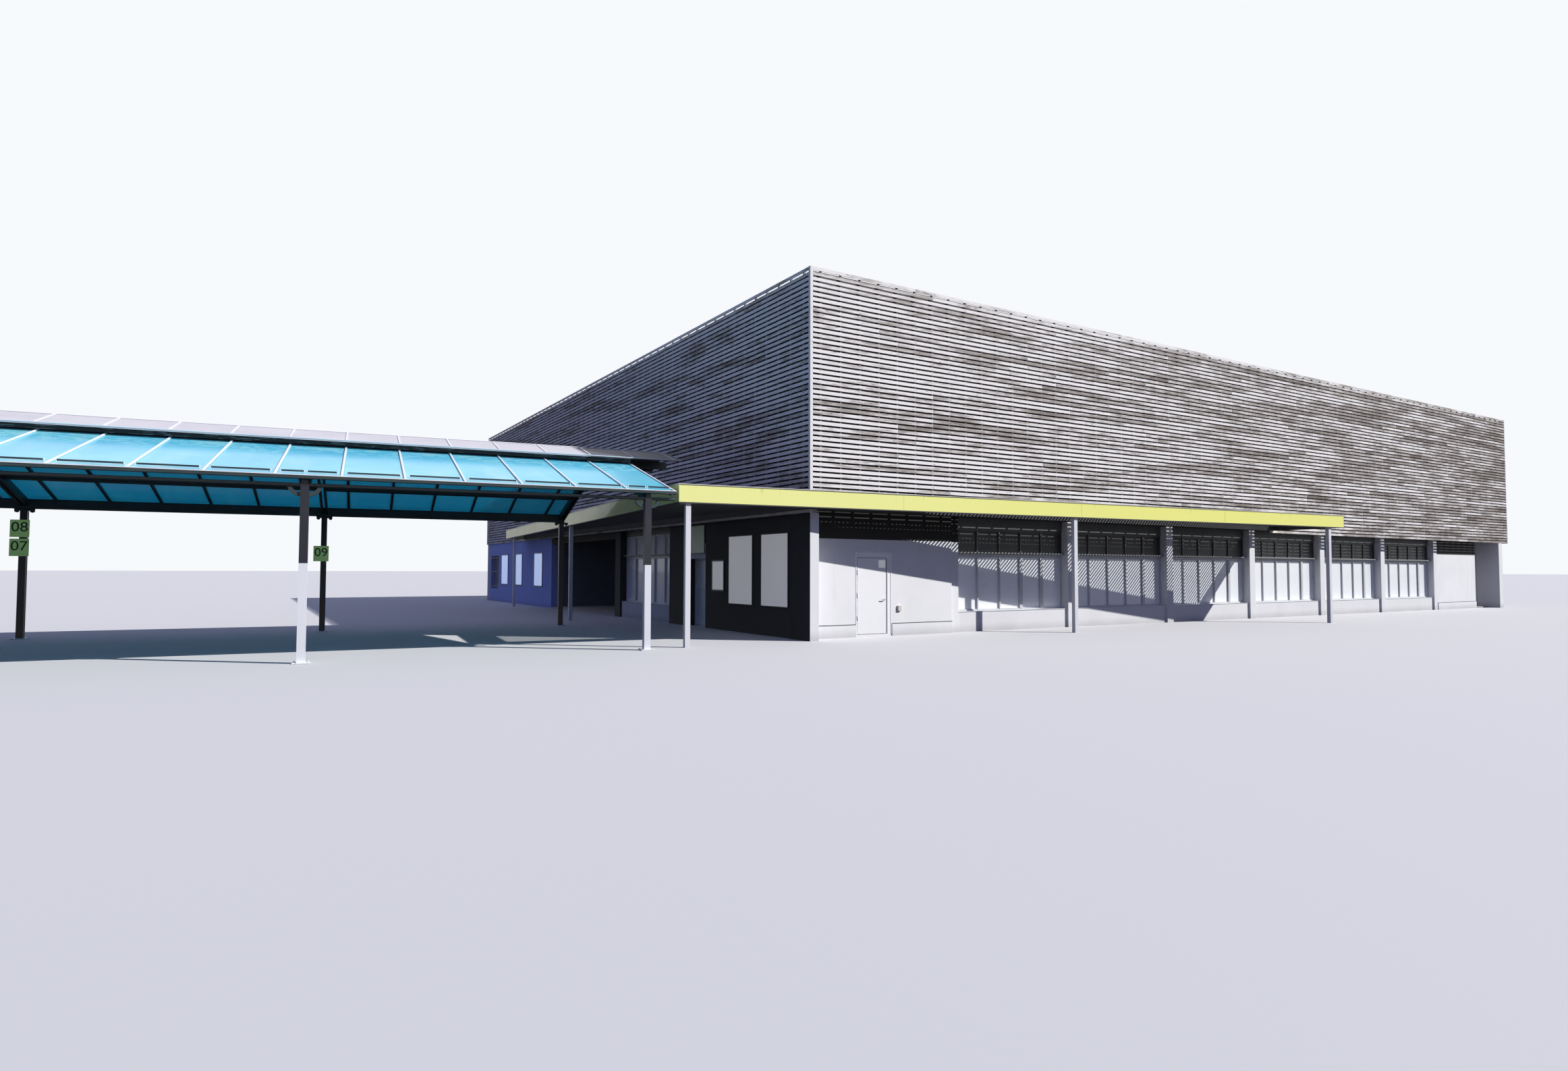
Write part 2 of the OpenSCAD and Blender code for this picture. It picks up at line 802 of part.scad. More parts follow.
// Bar under the glazing at a drop below it, between two distances from the eave
module under_glazing(x, l, y0, y1, h, drop) {
    translate([0, 0, -seat_gap - drop]) along_x(x, l)
        polygon([[y0, glaze_under(y0)], [y1, glaze_under(y1)],
            [y1, glaze_under(y1) - h], [y0, glaze_under(y0) - h]]);
}

// Place of a bar at a joint between two roof panels or at an end
function joint_x(k, w) = min(max(k * panel_w - w / 2, slope_start()), drive_l - w);
function is_end(k) = k == panel_count || (k == 0 && !$far);

// Twin rafters of the frames, the light bars that carry the glazing, and the end bars
module rafters() {
    color("darkslategray") on_drive() both_slopes() {
        for (i = [0:frame_count - 1], s = [-1, 1])
            under_glazing(frame_at(i) + s * (rafter_gap + rafter_w) / 2 - rafter_w / 2, rafter_w,
                rafter_start, rafter_end, rafter_h, sub_bar_h + seat_gap);
        for (k = [0:panel_count])
            under_glazing(joint_x(k, sub_bar_w), sub_bar_w, rafter_start, slope_w,
                is_end(k) ? end_bar_h : sub_bar_h, 0);
    }
}

// Purlins between the frames and out to the end bars, and the ridge beam
module purlins() {
    starts = [sub_bar_w, for (i = [0:frame_count - 1]) frame_at(i) + frame_w / 2];
    ends = [for (i = [0:frame_count - 1]) frame_at(i) - frame_w / 2, drive_l - sub_bar_w];
    color("darkslategray") on_drive() {
        both_slopes()
            for (y = purlin_at, i = [$far ? 1 : 0:frame_count])
                under_glazing(starts[i], ends[i] - starts[i], y, y + purlin_w, purlin_h,
                    sub_bar_h + seat_gap);
        block([-ridge_run, rafter_end, glaze_under(rafter_end) - sub_bar_h - rafter_h],
            [drive_l + 2 * ridge_run, ridge_beam_w, rafter_h]);
    }
}

// Bars over the joints between the roof panels, and the trim along the eaves
module glazing_bars() {
    color("whitesmoke") on_drive() both_slopes() {
        for (k = [0:panel_count])
            along_x(joint_x(k, glaze_bar_w), glaze_bar_w)
                polygon([[0, glaze_under(0)], [slope_w, glaze_under(slope_w)],
                    [slope_w, glaze_under(slope_w) + glaze_bar_h], [0, glaze_under(0) + glaze_bar_h]]);
        block([slope_start(), -trim_w, glaze_under(0) - trim_w],
            [slope_l(), trim_w - seat_gap, trim_w + glaze_bar_h]);
    }
}

module roof_glazing() {
    lift = glaze_t / cos(roof_slope);
    color("deepskyblue") on_drive() both_slopes()
        for (k = [0:panel_count - 1]) {
            x0 = max(k * panel_w + glaze_bar_w / 2, slope_start() + glaze_bar_w);
            x1 = min((k + 1) * panel_w - glaze_bar_w / 2, drive_l - glaze_bar_w);
            along_x(x0, x1 - x0)
                polygon([[0, glaze_under(0)], [slope_w, glaze_under(slope_w)],
                    [slope_w, glaze_under(slope_w) + lift], [0, glaze_under(0) + lift]]);
        }
}

// Height of the underside of the raised ridge roof at a distance from the eave
function ridge_under(y) = glaze_under(y) + vent_h + glaze_bar_h;

// The ridge roof's two slopes, a hair apart under the ridge capping
module ridge_roof() {
    top = (drive_w - ridge_gap) / 2;
    color("gainsboro") on_drive() both_slopes()
        along_x(-ridge_run, drive_l + 2 * ridge_run)
            polygon([[ridge_y, ridge_under(ridge_y)], [top, ridge_under(top)],
                [top, ridge_under(top) + ridge_t], [ridge_y, ridge_under(ridge_y) + ridge_t]]);
}

module ridge_vents() {
    t = 16;
    y0 = slope_w - t;
    color("gray") on_drive() both_slopes()
        along_x(slope_start(), slope_l())
            polygon([[y0, glaze_under(y0) + glaze_bar_h], [y0 + t, glaze_under(y0 + t) + glaze_bar_h],
                [y0 + t, ridge_under(y0 + t)], [y0, ridge_under(y0)]]);
}

// Frame number, height and side offset of each bay number plate
plate_places = [[1, 960, 30], [2, 1230, 30], [2, 1000, 30]];

module number_plates() {
    color("beige") on_drive()
        for (p = plate_places)
            block([frame_at(p[0]) - plate_w / 2 + p[2],
                drive_w - drive_post_in - drive_post_w / 2 - 8, p[1]], [plate_w, 8, plate_h]);
}

// Shares of the rear wall's free length at which its three cases start
rear_case_shares = [0.143, 0.505, 0.79];
sign_w = 570;
sign_h = 430;
sign_z = screen_z - sign_h - 20;

// Near side, underside, width and height of each case on the left wall
case_places = [[525, tall_case_z, case_w, tall_case_h], [1430, tall_case_z, case_w, tall_case_h],
    [2245, 550, 380, 450], [entrance_y + (entrance_w - sign_w) / 2, sign_z, sign_w, sign_h],
    for (k = rear_case_shares) [recess_end + k * rear_wall_l, low_case_z, case_w, low_case_h]];

module poster_cases() {
    color("white") on_left()
        for (p = case_places) block([p[0], wall_setback - case_t, p[1]], [p[2], case_t, p[3]]);
}

// Hinge knuckles at the three hinge heights, shifted along the pin, with a plate to one side
module knuckles(shift, side) {
    for (h = hinge_heights)
        translate([hinge_x, hinge_y, leaf_z + h * leaf_h + shift]) {
            cylinder(r = knuckle_r, h = knuckle_l - knuckle_gap, $fn = 24);
            translate([side > 0 ? 0 : -knuckle_r - leaf_gap, 0, 0])
                cube([knuckle_r + leaf_gap, hinge_out + eps, knuckle_l - knuckle_gap]);
        }
}

module door_frame() {
    color("gainsboro") {
        difference() {
            block([doorway_x, leaf_y, 0], [doorway_w, frame_depth, doorway_h]);
            block([doorway_x + jamb_w, leaf_y - 1, floor_t],
                [opening_w, frame_depth + 2, doorway_h - head_h - floor_t]);
        }
        knuckles(knuckle_l / 2, -1);
    }
}

module service_door() {
    color("whitesmoke") {
        block([leaf_x, leaf_y, leaf_z], [leaf_w, leaf_t, leaf_h]);
        knuckles(-knuckle_l / 2, 1);
    }
}

// Lever on one face of the leaf, drawn outwards along -y from y = 0
module lever() {
    translate([0, -4, 0]) rotate([-90, 0, 0]) cylinder(r = 12, h = 4, $fn = 24);
    translate([0, -24, 0]) rotate([-90, 0, 0]) cylinder(r = 5, h = 22, $fn = 16);
    translate([-60, -27, -5]) cube([65, 6, 10]);
}

module door_handle() {
    handle_x = leaf_x + leaf_w - 32;
    color("dimgray") {
        translate([handle_x, leaf_y, handle_z]) lever();
        translate([handle_x, leaf_y + leaf_t, handle_z]) mirror([0, 1, 0]) lever();
    }
}

placed() {
    floor_slab();
    front_piers();
    front_walls();
    lintel_walls();
    sill_walls();
    window_headers();
    window_frames();
    window_panes();
    upper_panels();
    recess_side_walls();
    recess_back_walls();
    soffit_slabs();
    left_walls();
    left_rear_wall();
    back_wall();
    right_wall();
    upper_long_walls();
    upper_end_walls();
    roof_deck();
    front_screen();
    left_screen();
    back_screen();
    right_screen();
    screen_battens();
    corner_strips();
    front_fascia();
    side_fascias();
    walkway_posts();
    walkway_beams();
    front_deck();
    side_deck();
    drive_posts();
    post_brackets();
    eave_beams();
    rafters();
    purlins();
    glazing_bars();
    roof_glazing();
    ridge_roof();
    ridge_vents();
    number_plates();
    poster_cases();
    door_frame();
    service_door();
    door_handle();
}
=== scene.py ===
"""Half-scale supermarket building: camera, light, finishes and the pieces that dress its frame."""
import math
import random

import bpy
from mathutils import Matrix, Vector


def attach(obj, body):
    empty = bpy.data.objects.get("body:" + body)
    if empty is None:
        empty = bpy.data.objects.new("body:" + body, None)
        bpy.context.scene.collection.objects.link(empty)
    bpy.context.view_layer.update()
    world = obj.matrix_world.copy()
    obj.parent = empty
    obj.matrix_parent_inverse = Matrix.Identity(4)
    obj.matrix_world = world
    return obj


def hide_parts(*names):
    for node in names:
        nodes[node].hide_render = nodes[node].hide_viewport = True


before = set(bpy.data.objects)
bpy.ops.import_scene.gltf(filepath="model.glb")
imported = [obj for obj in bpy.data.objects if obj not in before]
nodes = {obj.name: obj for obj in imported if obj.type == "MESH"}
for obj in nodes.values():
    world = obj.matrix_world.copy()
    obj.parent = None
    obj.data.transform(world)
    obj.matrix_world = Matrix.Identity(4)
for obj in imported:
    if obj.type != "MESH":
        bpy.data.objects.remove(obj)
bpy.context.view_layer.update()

# Sizes in millimetres; the building's are counted from its near corner
METRE = 1000
FRONT_L, SIDE_L = 20430, 16550
SCREEN_Z, BOARD_PITCH, BOARD_H, BOARD_T, BOARD_ROWS = 1550, 63.3, 50, 7, 48
STRIP_W, BATTEN_PITCH, BATTEN_W = 40, 300, 22
SCREEN_TOP = SCREEN_Z + BOARD_ROWS * BOARD_PITCH - (BOARD_PITCH - BOARD_H)
PARAPET_H = 230
WALL_FACE, WINDOW_FACE, LEFT_WINDOW_FACE = 250, 370, 145
BAYS = [(2655, 4875)] + [(5040 + i * 2437, 7312 + i * 2437) for i in range(5)]
SILL_Z, TRANSOM_Z, BAR_W = 280, 1045, 30
FLOOR_T, DOORWAY, LEAF_X, LEAF_W, LEAF_H = 30, (862, 1454), 894, 466, 976

# Walkway canopy; the lowest rows of boards on the front start where it ends
WALK_LEFT, WALK_FRONT, TURN = 1750, 40, math.radians(-5.9)
FASCIA_Z, FASCIA_H, FASCIA_T = 1592, 205, 20
FASCIA_FRONT_L, FASCIA_SIDE_L = 11780, 12780
DECK_Z, SLAT_PITCH, SLAT_W, GUTTER_W = 1668, 66.2, 32, 290
CANOPY_END, LOW_ROWS = 9990, 2

# Drive-through canopy
DRIVE_GAP, DRIVE_FRONT = 80, 145
PANEL_W, PANELS, FRAME_IN, FRAME_PITCH = 537, 19, 297, 3222
DRIVE_L, DRIVE_W, SLOPE_W = PANEL_W * PANELS, 4654, 1828
EAVE_Z, SLOPE, GLAZE_T = 1696, math.radians(15.4), 8
FAR_START = FRAME_IN - 41
POST_IN, POST_W, POST_PLACES = 75, 70, [FRAME_IN + i * FRAME_PITCH for i in range(4)]
RIDGE_RUN, RIDGE_LAP, RIDGE_LIFT, RIDGE_T = 635, 136, 90, 20
RIDGE_L = DRIVE_L + 2 * RIDGE_RUN

# Frames of reference: along the front, each other side, and the two canopies
ROW = Matrix.Translation((-FRONT_L / 2000, -SIDE_L / 2000, 0)) @ Matrix.Diagonal(
    (0.001, 0.001, 0.001, 1))
LEFT = ROW @ Matrix(((0, 1, 0, 0), (1, 0, 0, 0), (0, 0, 1, 0), (0, 0, 0, 1)))
BACK = ROW @ Matrix.Translation((FRONT_L, SIDE_L, 0)) @ Matrix.Rotation(math.pi, 4, "Z")
RIGHT = ROW @ Matrix.Translation((FRONT_L, 0, 0)) @ Matrix.Rotation(math.pi / 2, 4, "Z")
WALK = ROW @ Matrix.Translation((-WALK_LEFT, -WALK_FRONT, 0)) @ Matrix.Rotation(TURN, 4, "Z")
DRIVE = WALK @ Matrix.Translation((-DRIVE_GAP, -DRIVE_FRONT, 0)) @ Matrix.Diagonal((-1, 1, 1, 1))
FAR = DRIVE @ Matrix.Translation((0, DRIVE_W, 0)) @ Matrix.Diagonal((1, -1, 1, 1))
SLOPES = ((DRIVE, 0), (FAR, FAR_START))

# Places in metres at which finishes change
TRANSOM_TOP = 1.098
FLASHING_Z = 1.7968
LEFT_SIDE_X = -9.9
RIDGE_SHADE_X = -12.5


# ---------------------------------------------------------------- finishes

class Wire:
    """An output in a finish; sums and products of wires become Math nodes."""

    def __init__(self, finish, socket):
        self.finish, self.socket = finish, socket

    def math(self, operation, *values):
        return self.finish.node("ShaderNodeMath", {"operation": operation}, dict(enumerate(values)))

    def __add__(self, other):
        return self.math("ADD", self, other)

    def __radd__(self, other):
        return self.math("ADD", other, self)

    def __sub__(self, other):
        return self.math("SUBTRACT", self, other)

    def __rsub__(self, other):
        return self.math("SUBTRACT", other, self)

    def __mul__(self, other):
        return self.math("MULTIPLY", self, other)

    def __rmul__(self, other):
        return self.math("MULTIPLY", other, self)

    def above(self, edge):
        return self.math("GREATER_THAN", self, edge)

    def below(self, edge):
        return self.math("LESS_THAN", self, edge)

    def repeats(self, pitch, width):
        """One in a band of the given width round each multiple of the pitch."""
        return self.math("PINGPONG", self, pitch / 2).below(width / 2)

    def fade(self, start, end):
        """Zero at start and one at end, smooth between them."""
        return self.finish.node("ShaderNodeMapRange", {"interpolation_type": "SMOOTHSTEP"},
                                {"Value": self, "From Min": start, "From Max": end})


class Finish:
    """A material whose principled shader is fed by wires."""

    def __init__(self, name, color, roughness, **fixed):
        self.material = bpy.data.materials.new(name)
        self.material.use_nodes = True
        self.tree = self.material.node_tree
        self.shader = self.tree.nodes["Principled BSDF"]
        self.set("Base Color", color)
        self.set("Roughness", roughness)
        for socket, value in fixed.items():
            self.set(socket.replace("_", " "), value)
        place = self.node("ShaderNodeTexCoord", output="Object")
        self.place = place
        self.x, self.y, self.z = self.parts(place)

    def feed(self, socket, value):
        """Links a wire to an input, or writes a plain value or colour into it."""
        if isinstance(value, Wire):
            self.tree.links.new(value.socket, socket)
        elif socket.type == "RGBA" and len(value) == 3:
            socket.default_value = (*value, 1)
        else:
            socket.default_value = value

    def node(self, kind, settings=None, inputs=None, output=0):
        """Adds a node, feeds its inputs and returns one of its outputs."""
        made = self.tree.nodes.new(kind)
        for key, value in (settings or {}).items():
            if key == "stops":
                ramp = made.color_ramp
                while len(ramp.elements) < len(value):
                    ramp.elements.new(0.5)
                for element, (at, color) in zip(ramp.elements, value):
                    element.position, element.color = at, (*color, 1)
            else:
                setattr(made, key, value)
        for key, value in (inputs or {}).items():
            self.feed(made.inputs[key], value)
        return Wire(self, made.outputs[output])

    def set(self, socket, value):
        """Gives an input of the shader a value or a wire."""
        self.feed(self.shader.inputs[socket], value)

    def parts(self, vector):
        """The x, y and z of a vector."""
        return [self.node("ShaderNodeSeparateXYZ", inputs={0: vector}, output=i) for i in range(3)]

    def facing(self):
        """The three parts of the surface's own direction."""
        return self.parts(self.node("ShaderNodeNewGeometry", output="Normal"))

    def vector(self, x, y, z):
        return self.node("ShaderNodeCombineXYZ", inputs={0: x, 1: y, 2: z})

    def noise(self, place, scale, detail=3.0, roughness=0.55):
        return self.node("ShaderNodeTexNoise",
                         inputs={"Vector": place, "Scale": scale, "Detail": detail,
                                 "Roughness": roughness})

    def spots(self, place, scale):
        """Distance to the nearest scattered point."""
        return self.node("ShaderNodeTexVoronoi", inputs={"Vector": place, "Scale": scale})

    def blend(self, share, first, second):
        return self.node("ShaderNodeMix", {"data_type": "RGBA"}, {0: share, 6: first, 7: second},
                         output=2)

    def ramp(self, value, *stops):
        return self.node("ShaderNodeValToRGB", {"stops": stops}, {0: value})

    def relief(self, height, depth, strength=1.0):
        self.set("Normal", self.node("ShaderNodeBump",
                                     inputs={"Height": height, "Distance": depth,
                                             "Strength": strength}))


def weathered_boards(name, light, middle, dark, shift):
    """Silvered boards: long brown-grey patches, fine grain along each board, small knots, and
    painted shade on their top and bottom faces that darkens the gaps.
    """
    f = Finish(name, middle, 0.85)
    tone = f.node("ShaderNodeAttribute", {"attribute_name": "tone"}, output="Fac")
    along = f.x + f.y
    patch = f.noise(f.vector(along * 0.5, tone * 0.5, f.z * 6.5), 1.0, 4, 0.65)
    board = f.noise(f.vector(along * 1.3 + tone * 31, tone * 17, f.z * 2), 1.0, 4, 0.6)
    fleck = f.noise(f.vector(along * 7 + tone * 53, tone * 9, f.z * 40), 1.0, 3)
    grain = f.noise(f.vector(along * 14, tone * 40, f.z * 420), 1.0, 4, 0.65)
    age = patch * 1.1 + board * 1.0 + tone * 0.3 + fleck * 0.45 + f.x * 0.012 + shift
    color = f.ramp(age, (0.34, light), (0.56, middle), (0.84, dark))
    knots = f.spots(f.vector(along * 4 + tone * 80, tone * 30, f.z * 22), 1.0).below(0.09)
    color = f.blend(knots * 0.75, color, tuple(c * 0.45 for c in dark))
    color = f.blend(grain.fade(0.52, 0.75) * 0.45, color, tuple(c * 0.8 for c in dark))
    # Painted shade: the top and bottom faces of each board are near black, so the gaps between the
    # boards read dark.
    upward = f.facing()[2]
    edge = upward.math("ABSOLUTE", upward).above(0.5)
    color = f.blend(edge * 0.95, color, (0.012, 0.012, 0.013))
    f.set("Base Color", color)
    f.set("Roughness", 0.8 + 0.12 * grain)
    f.relief(grain, 0.0008, 0.6)
    return f.material


def rendered_wall(name, color, dirt, black_above=None, black_left_of=None):
    """Painted render: faint trowel mottling, thin rain streaks, a soiled foot."""
    f = Finish(name, color, 0.88)
    mottle = f.noise(f.place, 1.6, 5)
    streak = f.noise(f.vector(f.x * 9, f.y * 9, f.z * 0.7), 1.0, 3)
    soft = f.blend(mottle.fade(0.35, 0.75) * 0.16, color, dirt)
    soft = f.blend(streak.fade(0.56, 0.72) * 0.14, soft, dirt)
    foot = (1 - f.z.fade(0.0, 0.14)) * (0.35 + mottle * 0.6)
    soft = f.blend(foot * 0.6, soft, tuple(c * 0.62 for c in dirt))
    if black_above is not None:
        soft = f.blend(f.z.above(black_above), soft, (0.012, 0.012, 0.013))
    if black_left_of is not None:
        soft = f.blend(f.x.below(black_left_of), soft, (0.016, 0.018, 0.026))
    f.set("Base Color", soft)
    f.relief(f.noise(f.place, 130, 3), 0.0008, 0.35)
    return f.material


def coated_metal(name, color, roughness=0.4, grime=(0.2, 0.19, 0.17), dirty=0.2):
    """Powder-coated metal with faint cloudiness and dirt that has run down it."""
    f = Finish(name, color, roughness)
    cloud = f.noise(f.place, 2.4, 4)
    runs = f.noise(f.vector(f.x * 30, f.y * 30, f.z * 3), 1.0, 3)
    f.set("Base Color", f.blend(cloud.fade(0.4, 0.8) * dirty * (0.4 + runs), color, grime))
    f.set("Roughness", roughness + 0.22 * cloud)
    f.relief(f.noise(f.place, 260, 2), 0.0003, 0.3)
    return f.material


def fascia_paint():
    """Lime sheets with a grey flashing above them and a dark drip edge at their foot; their backs
    are near black, a dark back darkened further with painted shade.
    """
    f = Finish("lime_sheet", (0.90, 0.90, 0.16), 0.35, Coat_Weight=0.25)
    cloud = f.noise(f.place, 1.2, 3)
    runs = f.noise(f.vector(f.x * 16, f.y * 16, f.z * 2), 1.0, 3)
    color = f.blend(f.x.fade(-12, -4), (0.97, 0.98, 0.36), (0.94, 0.93, 0.24))
    color = f.blend(cloud.fade(0.4, 0.8) * 0.15, color, (0.74, 0.76, 0.13))
    washed = runs.fade(0.58, 0.75) * f.z.fade(1.7, 1.8)
    color = f.blend(washed * 0.3, color, (0.35, 0.4, 0.16))
    color = f.blend(f.z.above(FLASHING_Z), color, (0.62, 0.61, 0.6))
    # Painted shade: the backs of the sheets under the canopy are made near black, over what would
    # be a dark unpainted back.
    side, depth, _ = f.facing()
    end = f.x.above(-2)
    back = (depth.above(0.5) * f.y.below(0) + side.below(-0.5) * end
            + side.above(0.5) * (1 - end))
    color = f.blend(back * f.z.below(FLASHING_Z), color, (0.04, 0.042, 0.04))
    f.set("Base Color", color)
    f.set("Roughness", 0.33 + 0.2 * cloud)
    return f.material


def window_film():
    """Pale film behind the lower panes: hazy, with painted shade that darkens it towards the top.
    """
    f = Finish("pane_film", (0.60, 0.65, 0.68), 0.22, Coat_Weight=0.4)
    haze = f.noise(f.vector(f.x * 0.7, f.y * 0.7, f.z * 1.5), 1.0, 3)
    # Painted shade: the film is darker towards the top, where the canopy's shade falls.
    color = f.blend(f.z.fade(0.3, 1.05) * 0.3, (0.93, 0.95, 0.97), (0.68, 0.71, 0.74))
    f.set("Base Color", f.blend(haze.fade(0.4, 0.75) * 0.25, color, (0.96, 0.97, 0.98)))
    f.set("Roughness", 0.16 + 0.2 * haze)
    return f.material


def dark_sheet():
    """Dark infill panels over the panes, dusty at their foot and pale on the left side."""
    f = Finish("infill_panel", (0.045, 0.046, 0.046), 0.5)
    dust = f.noise(f.place, 3.0, 4)
    low = 1 - f.z.fade(1.09, 1.2)
    color = f.blend(low * 0.3 + dust.fade(0.5, 0.8) * 0.15, (0.045, 0.046, 0.046),
                    (0.16, 0.16, 0.15))
    f.set("Base Color", f.blend(f.x.below(LEFT_SIDE_X), color, (0.62, 0.64, 0.62)))
    f.set("Roughness", 0.42 + 0.2 * dust)
    return f.material


def window_frame_coat():
    """Grey frames, which on the front are dark above the transom like the infill panels."""
    f = Finish("frame_coat", (0.42, 0.43, 0.45), 0.4)
    cloud = f.noise(f.place, 2.4, 4)
    color = f.blend(cloud.fade(0.4, 0.8) * 0.3, (0.58, 0.60, 0.62), (0.4, 0.4, 0.4))
    dark = f.z.above(TRANSOM_TOP) * f.x.above(LEFT_SIDE_X)
    f.set("Base Color", f.blend(dark, color, (0.07, 0.072, 0.074)))
    f.set("Roughness", 0.35 + 0.2 * cloud)
    return f.material


def tinted_roof():
    """Cyan roof panels: pale sweeps and specks, grime towards the ridge, light coming through, and
    a faint painted glow.
    """
    # Emission_Strength and Emission_Color give the panels a faint painted cyan glow.
    f = Finish("tinted_roof", (0.2, 0.8, 1.0), 0.2, Coat_Weight=0.2, Emission_Strength=0.02,
               Emission_Color=(0.1, 0.7, 1.0, 1))
    cloud = f.noise(f.place, 1.1, 4)
    sweep = f.noise(f.vector(f.x * 2.2, f.y * 0.5, f.z * 0.5), 1.0, 3)
    height = f.z + (f.noise(f.place, 2.2, 4) - 0.5) * 0.3
    color = f.ramp(cloud, (0.3, (0.14, 0.72, 0.97)), (0.52, (0.20, 0.82, 1.0)),
                   (0.75, (0.36, 0.92, 0.98)))
    color = f.blend(sweep.fade(0.5, 0.72) * 0.5, color, (0.56, 0.96, 0.97))
    grime = f.noise(f.place, 9, 5).fade(0.42, 0.7) * height.fade(1.98, 2.16)
    color = f.blend(grime * 0.55, color, (0.40, 0.50, 0.46))
    specks = f.spots(f.place, 26).below(0.1) * f.noise(f.place, 4, 2).above(0.52)
    fine = f.spots(f.place, 60).below(0.12) * f.noise(f.place, 6, 2).above(0.55)
    color = f.blend(specks * 0.75, color, (0.85, 0.93, 0.93))
    color = f.blend(fine * 0.5 * height.fade(1.8, 2.1), color, (0.85, 0.93, 0.93))
    f.set("Base Color", color)
    f.set("Roughness", 0.2 + 0.35 * grime)
    glow = f.tree.nodes.new("ShaderNodeBsdfTranslucent")
    f.feed(glow.inputs["Color"], (0.06, 0.78, 1.0))
    both = f.tree.nodes.new("ShaderNodeMixShader")
    both.inputs[0].default_value = 0.22
    f.tree.links.new(f.shader.outputs[0], both.inputs[1])
    f.tree.links.new(glow.outputs[0], both.inputs[2])
    f.tree.links.new(both.outputs[0], f.tree.nodes["Material Output"].inputs["Surface"])
    return f.material


def louvre_metal():
    """Dark vent slats with painted highlights here and there."""
    f = Finish("louvre_coat", (0.10, 0.10, 0.11), 0.4)
    painted_glints = f.noise(f.vector(f.x * 5, f.y * 5, f.z * 25), 1.0, 4)
    # Painted highlights: pale spots on the dark slats stand in for light catching their edges.
    f.set("Base Color", f.blend(painted_glints.fade(0.5, 0.62), (0.04, 0.042, 0.05), (0.62, 0.60, 0.60)))
    f.set("Roughness", 0.35 + 0.3 * painted_glints)
    return f.material


def sheet_with_painted_glow(name, color, shade, glow, rear_painted_glow=None):
    """Printed sheet with a painted glow that brightens it in the shade, bluer towards the rear when
    a rear glow is given.
    """
    f = Finish(name, color, 0.4, Emission_Strength=1)
    cloud = f.noise(f.place, 1.5, 4)
    f.set("Base Color", f.blend(cloud.fade(0.35, 0.75) * 0.5, color, shade))
    if rear_painted_glow:
        glow = f.blend(f.y.fade(-1, 1), glow, rear_painted_glow)
    # Painted glow: the emission colour lifts the sheet in the shade.
    f.set("Emission Color", glow)
    f.set("Roughness", 0.35 + 0.15 * cloud)
    return f.material


def canopy_post_shade_paint():
    """Light grey posts with painted shade: near black wherever the canopy's shade falls, on the far
    row and on the near row above shoulder height.
    """
    f = Finish("canopy_post_shade_paint", (0.04, 0.044, 0.07), 0.4)
    cloud = f.noise(f.place, 2.4, 4)
    slant, between_rows, foot, shadow_edge_z = 0.1034, -7, 0.009, 0.905
    # Painted shade: only the near row between its foot and the shadow edge keeps the posts' light
    # grey; the rest is made near black.
    near = (f.y + f.x * slant).below(between_rows) * f.z.above(foot) * f.z.below(shadow_edge_z)
    dark = f.blend(cloud.fade(0.4, 0.8) * 0.4, (0.011, 0.012, 0.022), (0.025, 0.026, 0.036))
    white = f.blend(cloud.fade(0.4, 0.8) * 0.2, (0.84, 0.85, 0.90), (0.6, 0.6, 0.65))
    f.set("Base Color", f.blend(near, dark, white))
    f.set("Roughness", 0.35 + 0.2 * cloud)
    return f.material


def ridge_sheet():
    """Pale stained sheets over the ridge, with the building's shadow painted on their end towards
    it.
    """
    f = Finish("ridge_sheet", (0.55, 0.53, 0.57), 0.45)
    cloud = f.noise(f.place, 1.4, 5)
    stain = f.noise(f.vector(f.x * 4, f.y * 4, f.z * 10), 1.0, 4)
    color = f.blend(cloud.fade(0.35, 0.75) * 0.4, (0.60, 0.58, 0.62), (0.42, 0.41, 0.45))
    color = f.blend(stain.fade(0.6, 0.8) * 0.3, color, (0.3, 0.29, 0.3))
    # Painted shadow: the end towards the building, where its shadow falls, is made near black.
    painted_shadow = f.x.fade(RIDGE_SHADE_X, RIDGE_SHADE_X + 0.1)
    f.set("Base Color", f.blend(painted_shadow * 0.93, color, (0.03, 0.032, 0.055)))
    f.set("Roughness", 0.4 + 0.25 * cloud)
    return f.material


def roof_sheet():
    """Roofing felt with lapped seams a metre apart and pale dust in its hollows."""
    f = Finish("roof_felt", (0.30, 0.30, 0.30), 0.92)
    dust = f.noise(f.place, 0.35, 5)
    seam = f.y.repeats(1.0, 0.03)
    color = f.blend(dust.fade(0.4, 0.75) * 0.5, (0.28, 0.28, 0.285), (0.46, 0.45, 0.43))
    f.set("Base Color", f.blend(seam * 0.6, color, (0.15, 0.15, 0.15)))
    f.relief(f.noise(f.place, 60, 3) + seam * 2, 0.003, 0.6)
    return f.material


def plain_finish(name, color, roughness, shade, scale=2.0):
    """One colour with soft clouds of a second."""
    f = Finish(name, color, roughness)
    cloud = f.noise(f.place, scale, 4)
    f.set("Base Color", f.blend(cloud.fade(0.35, 0.75) * 0.4, color, shade))
    f.set("Roughness", roughness + 0.1 * cloud)
    f.relief(f.noise(f.place, scale * 60, 3), 0.0006, 0.3)
    return f.material


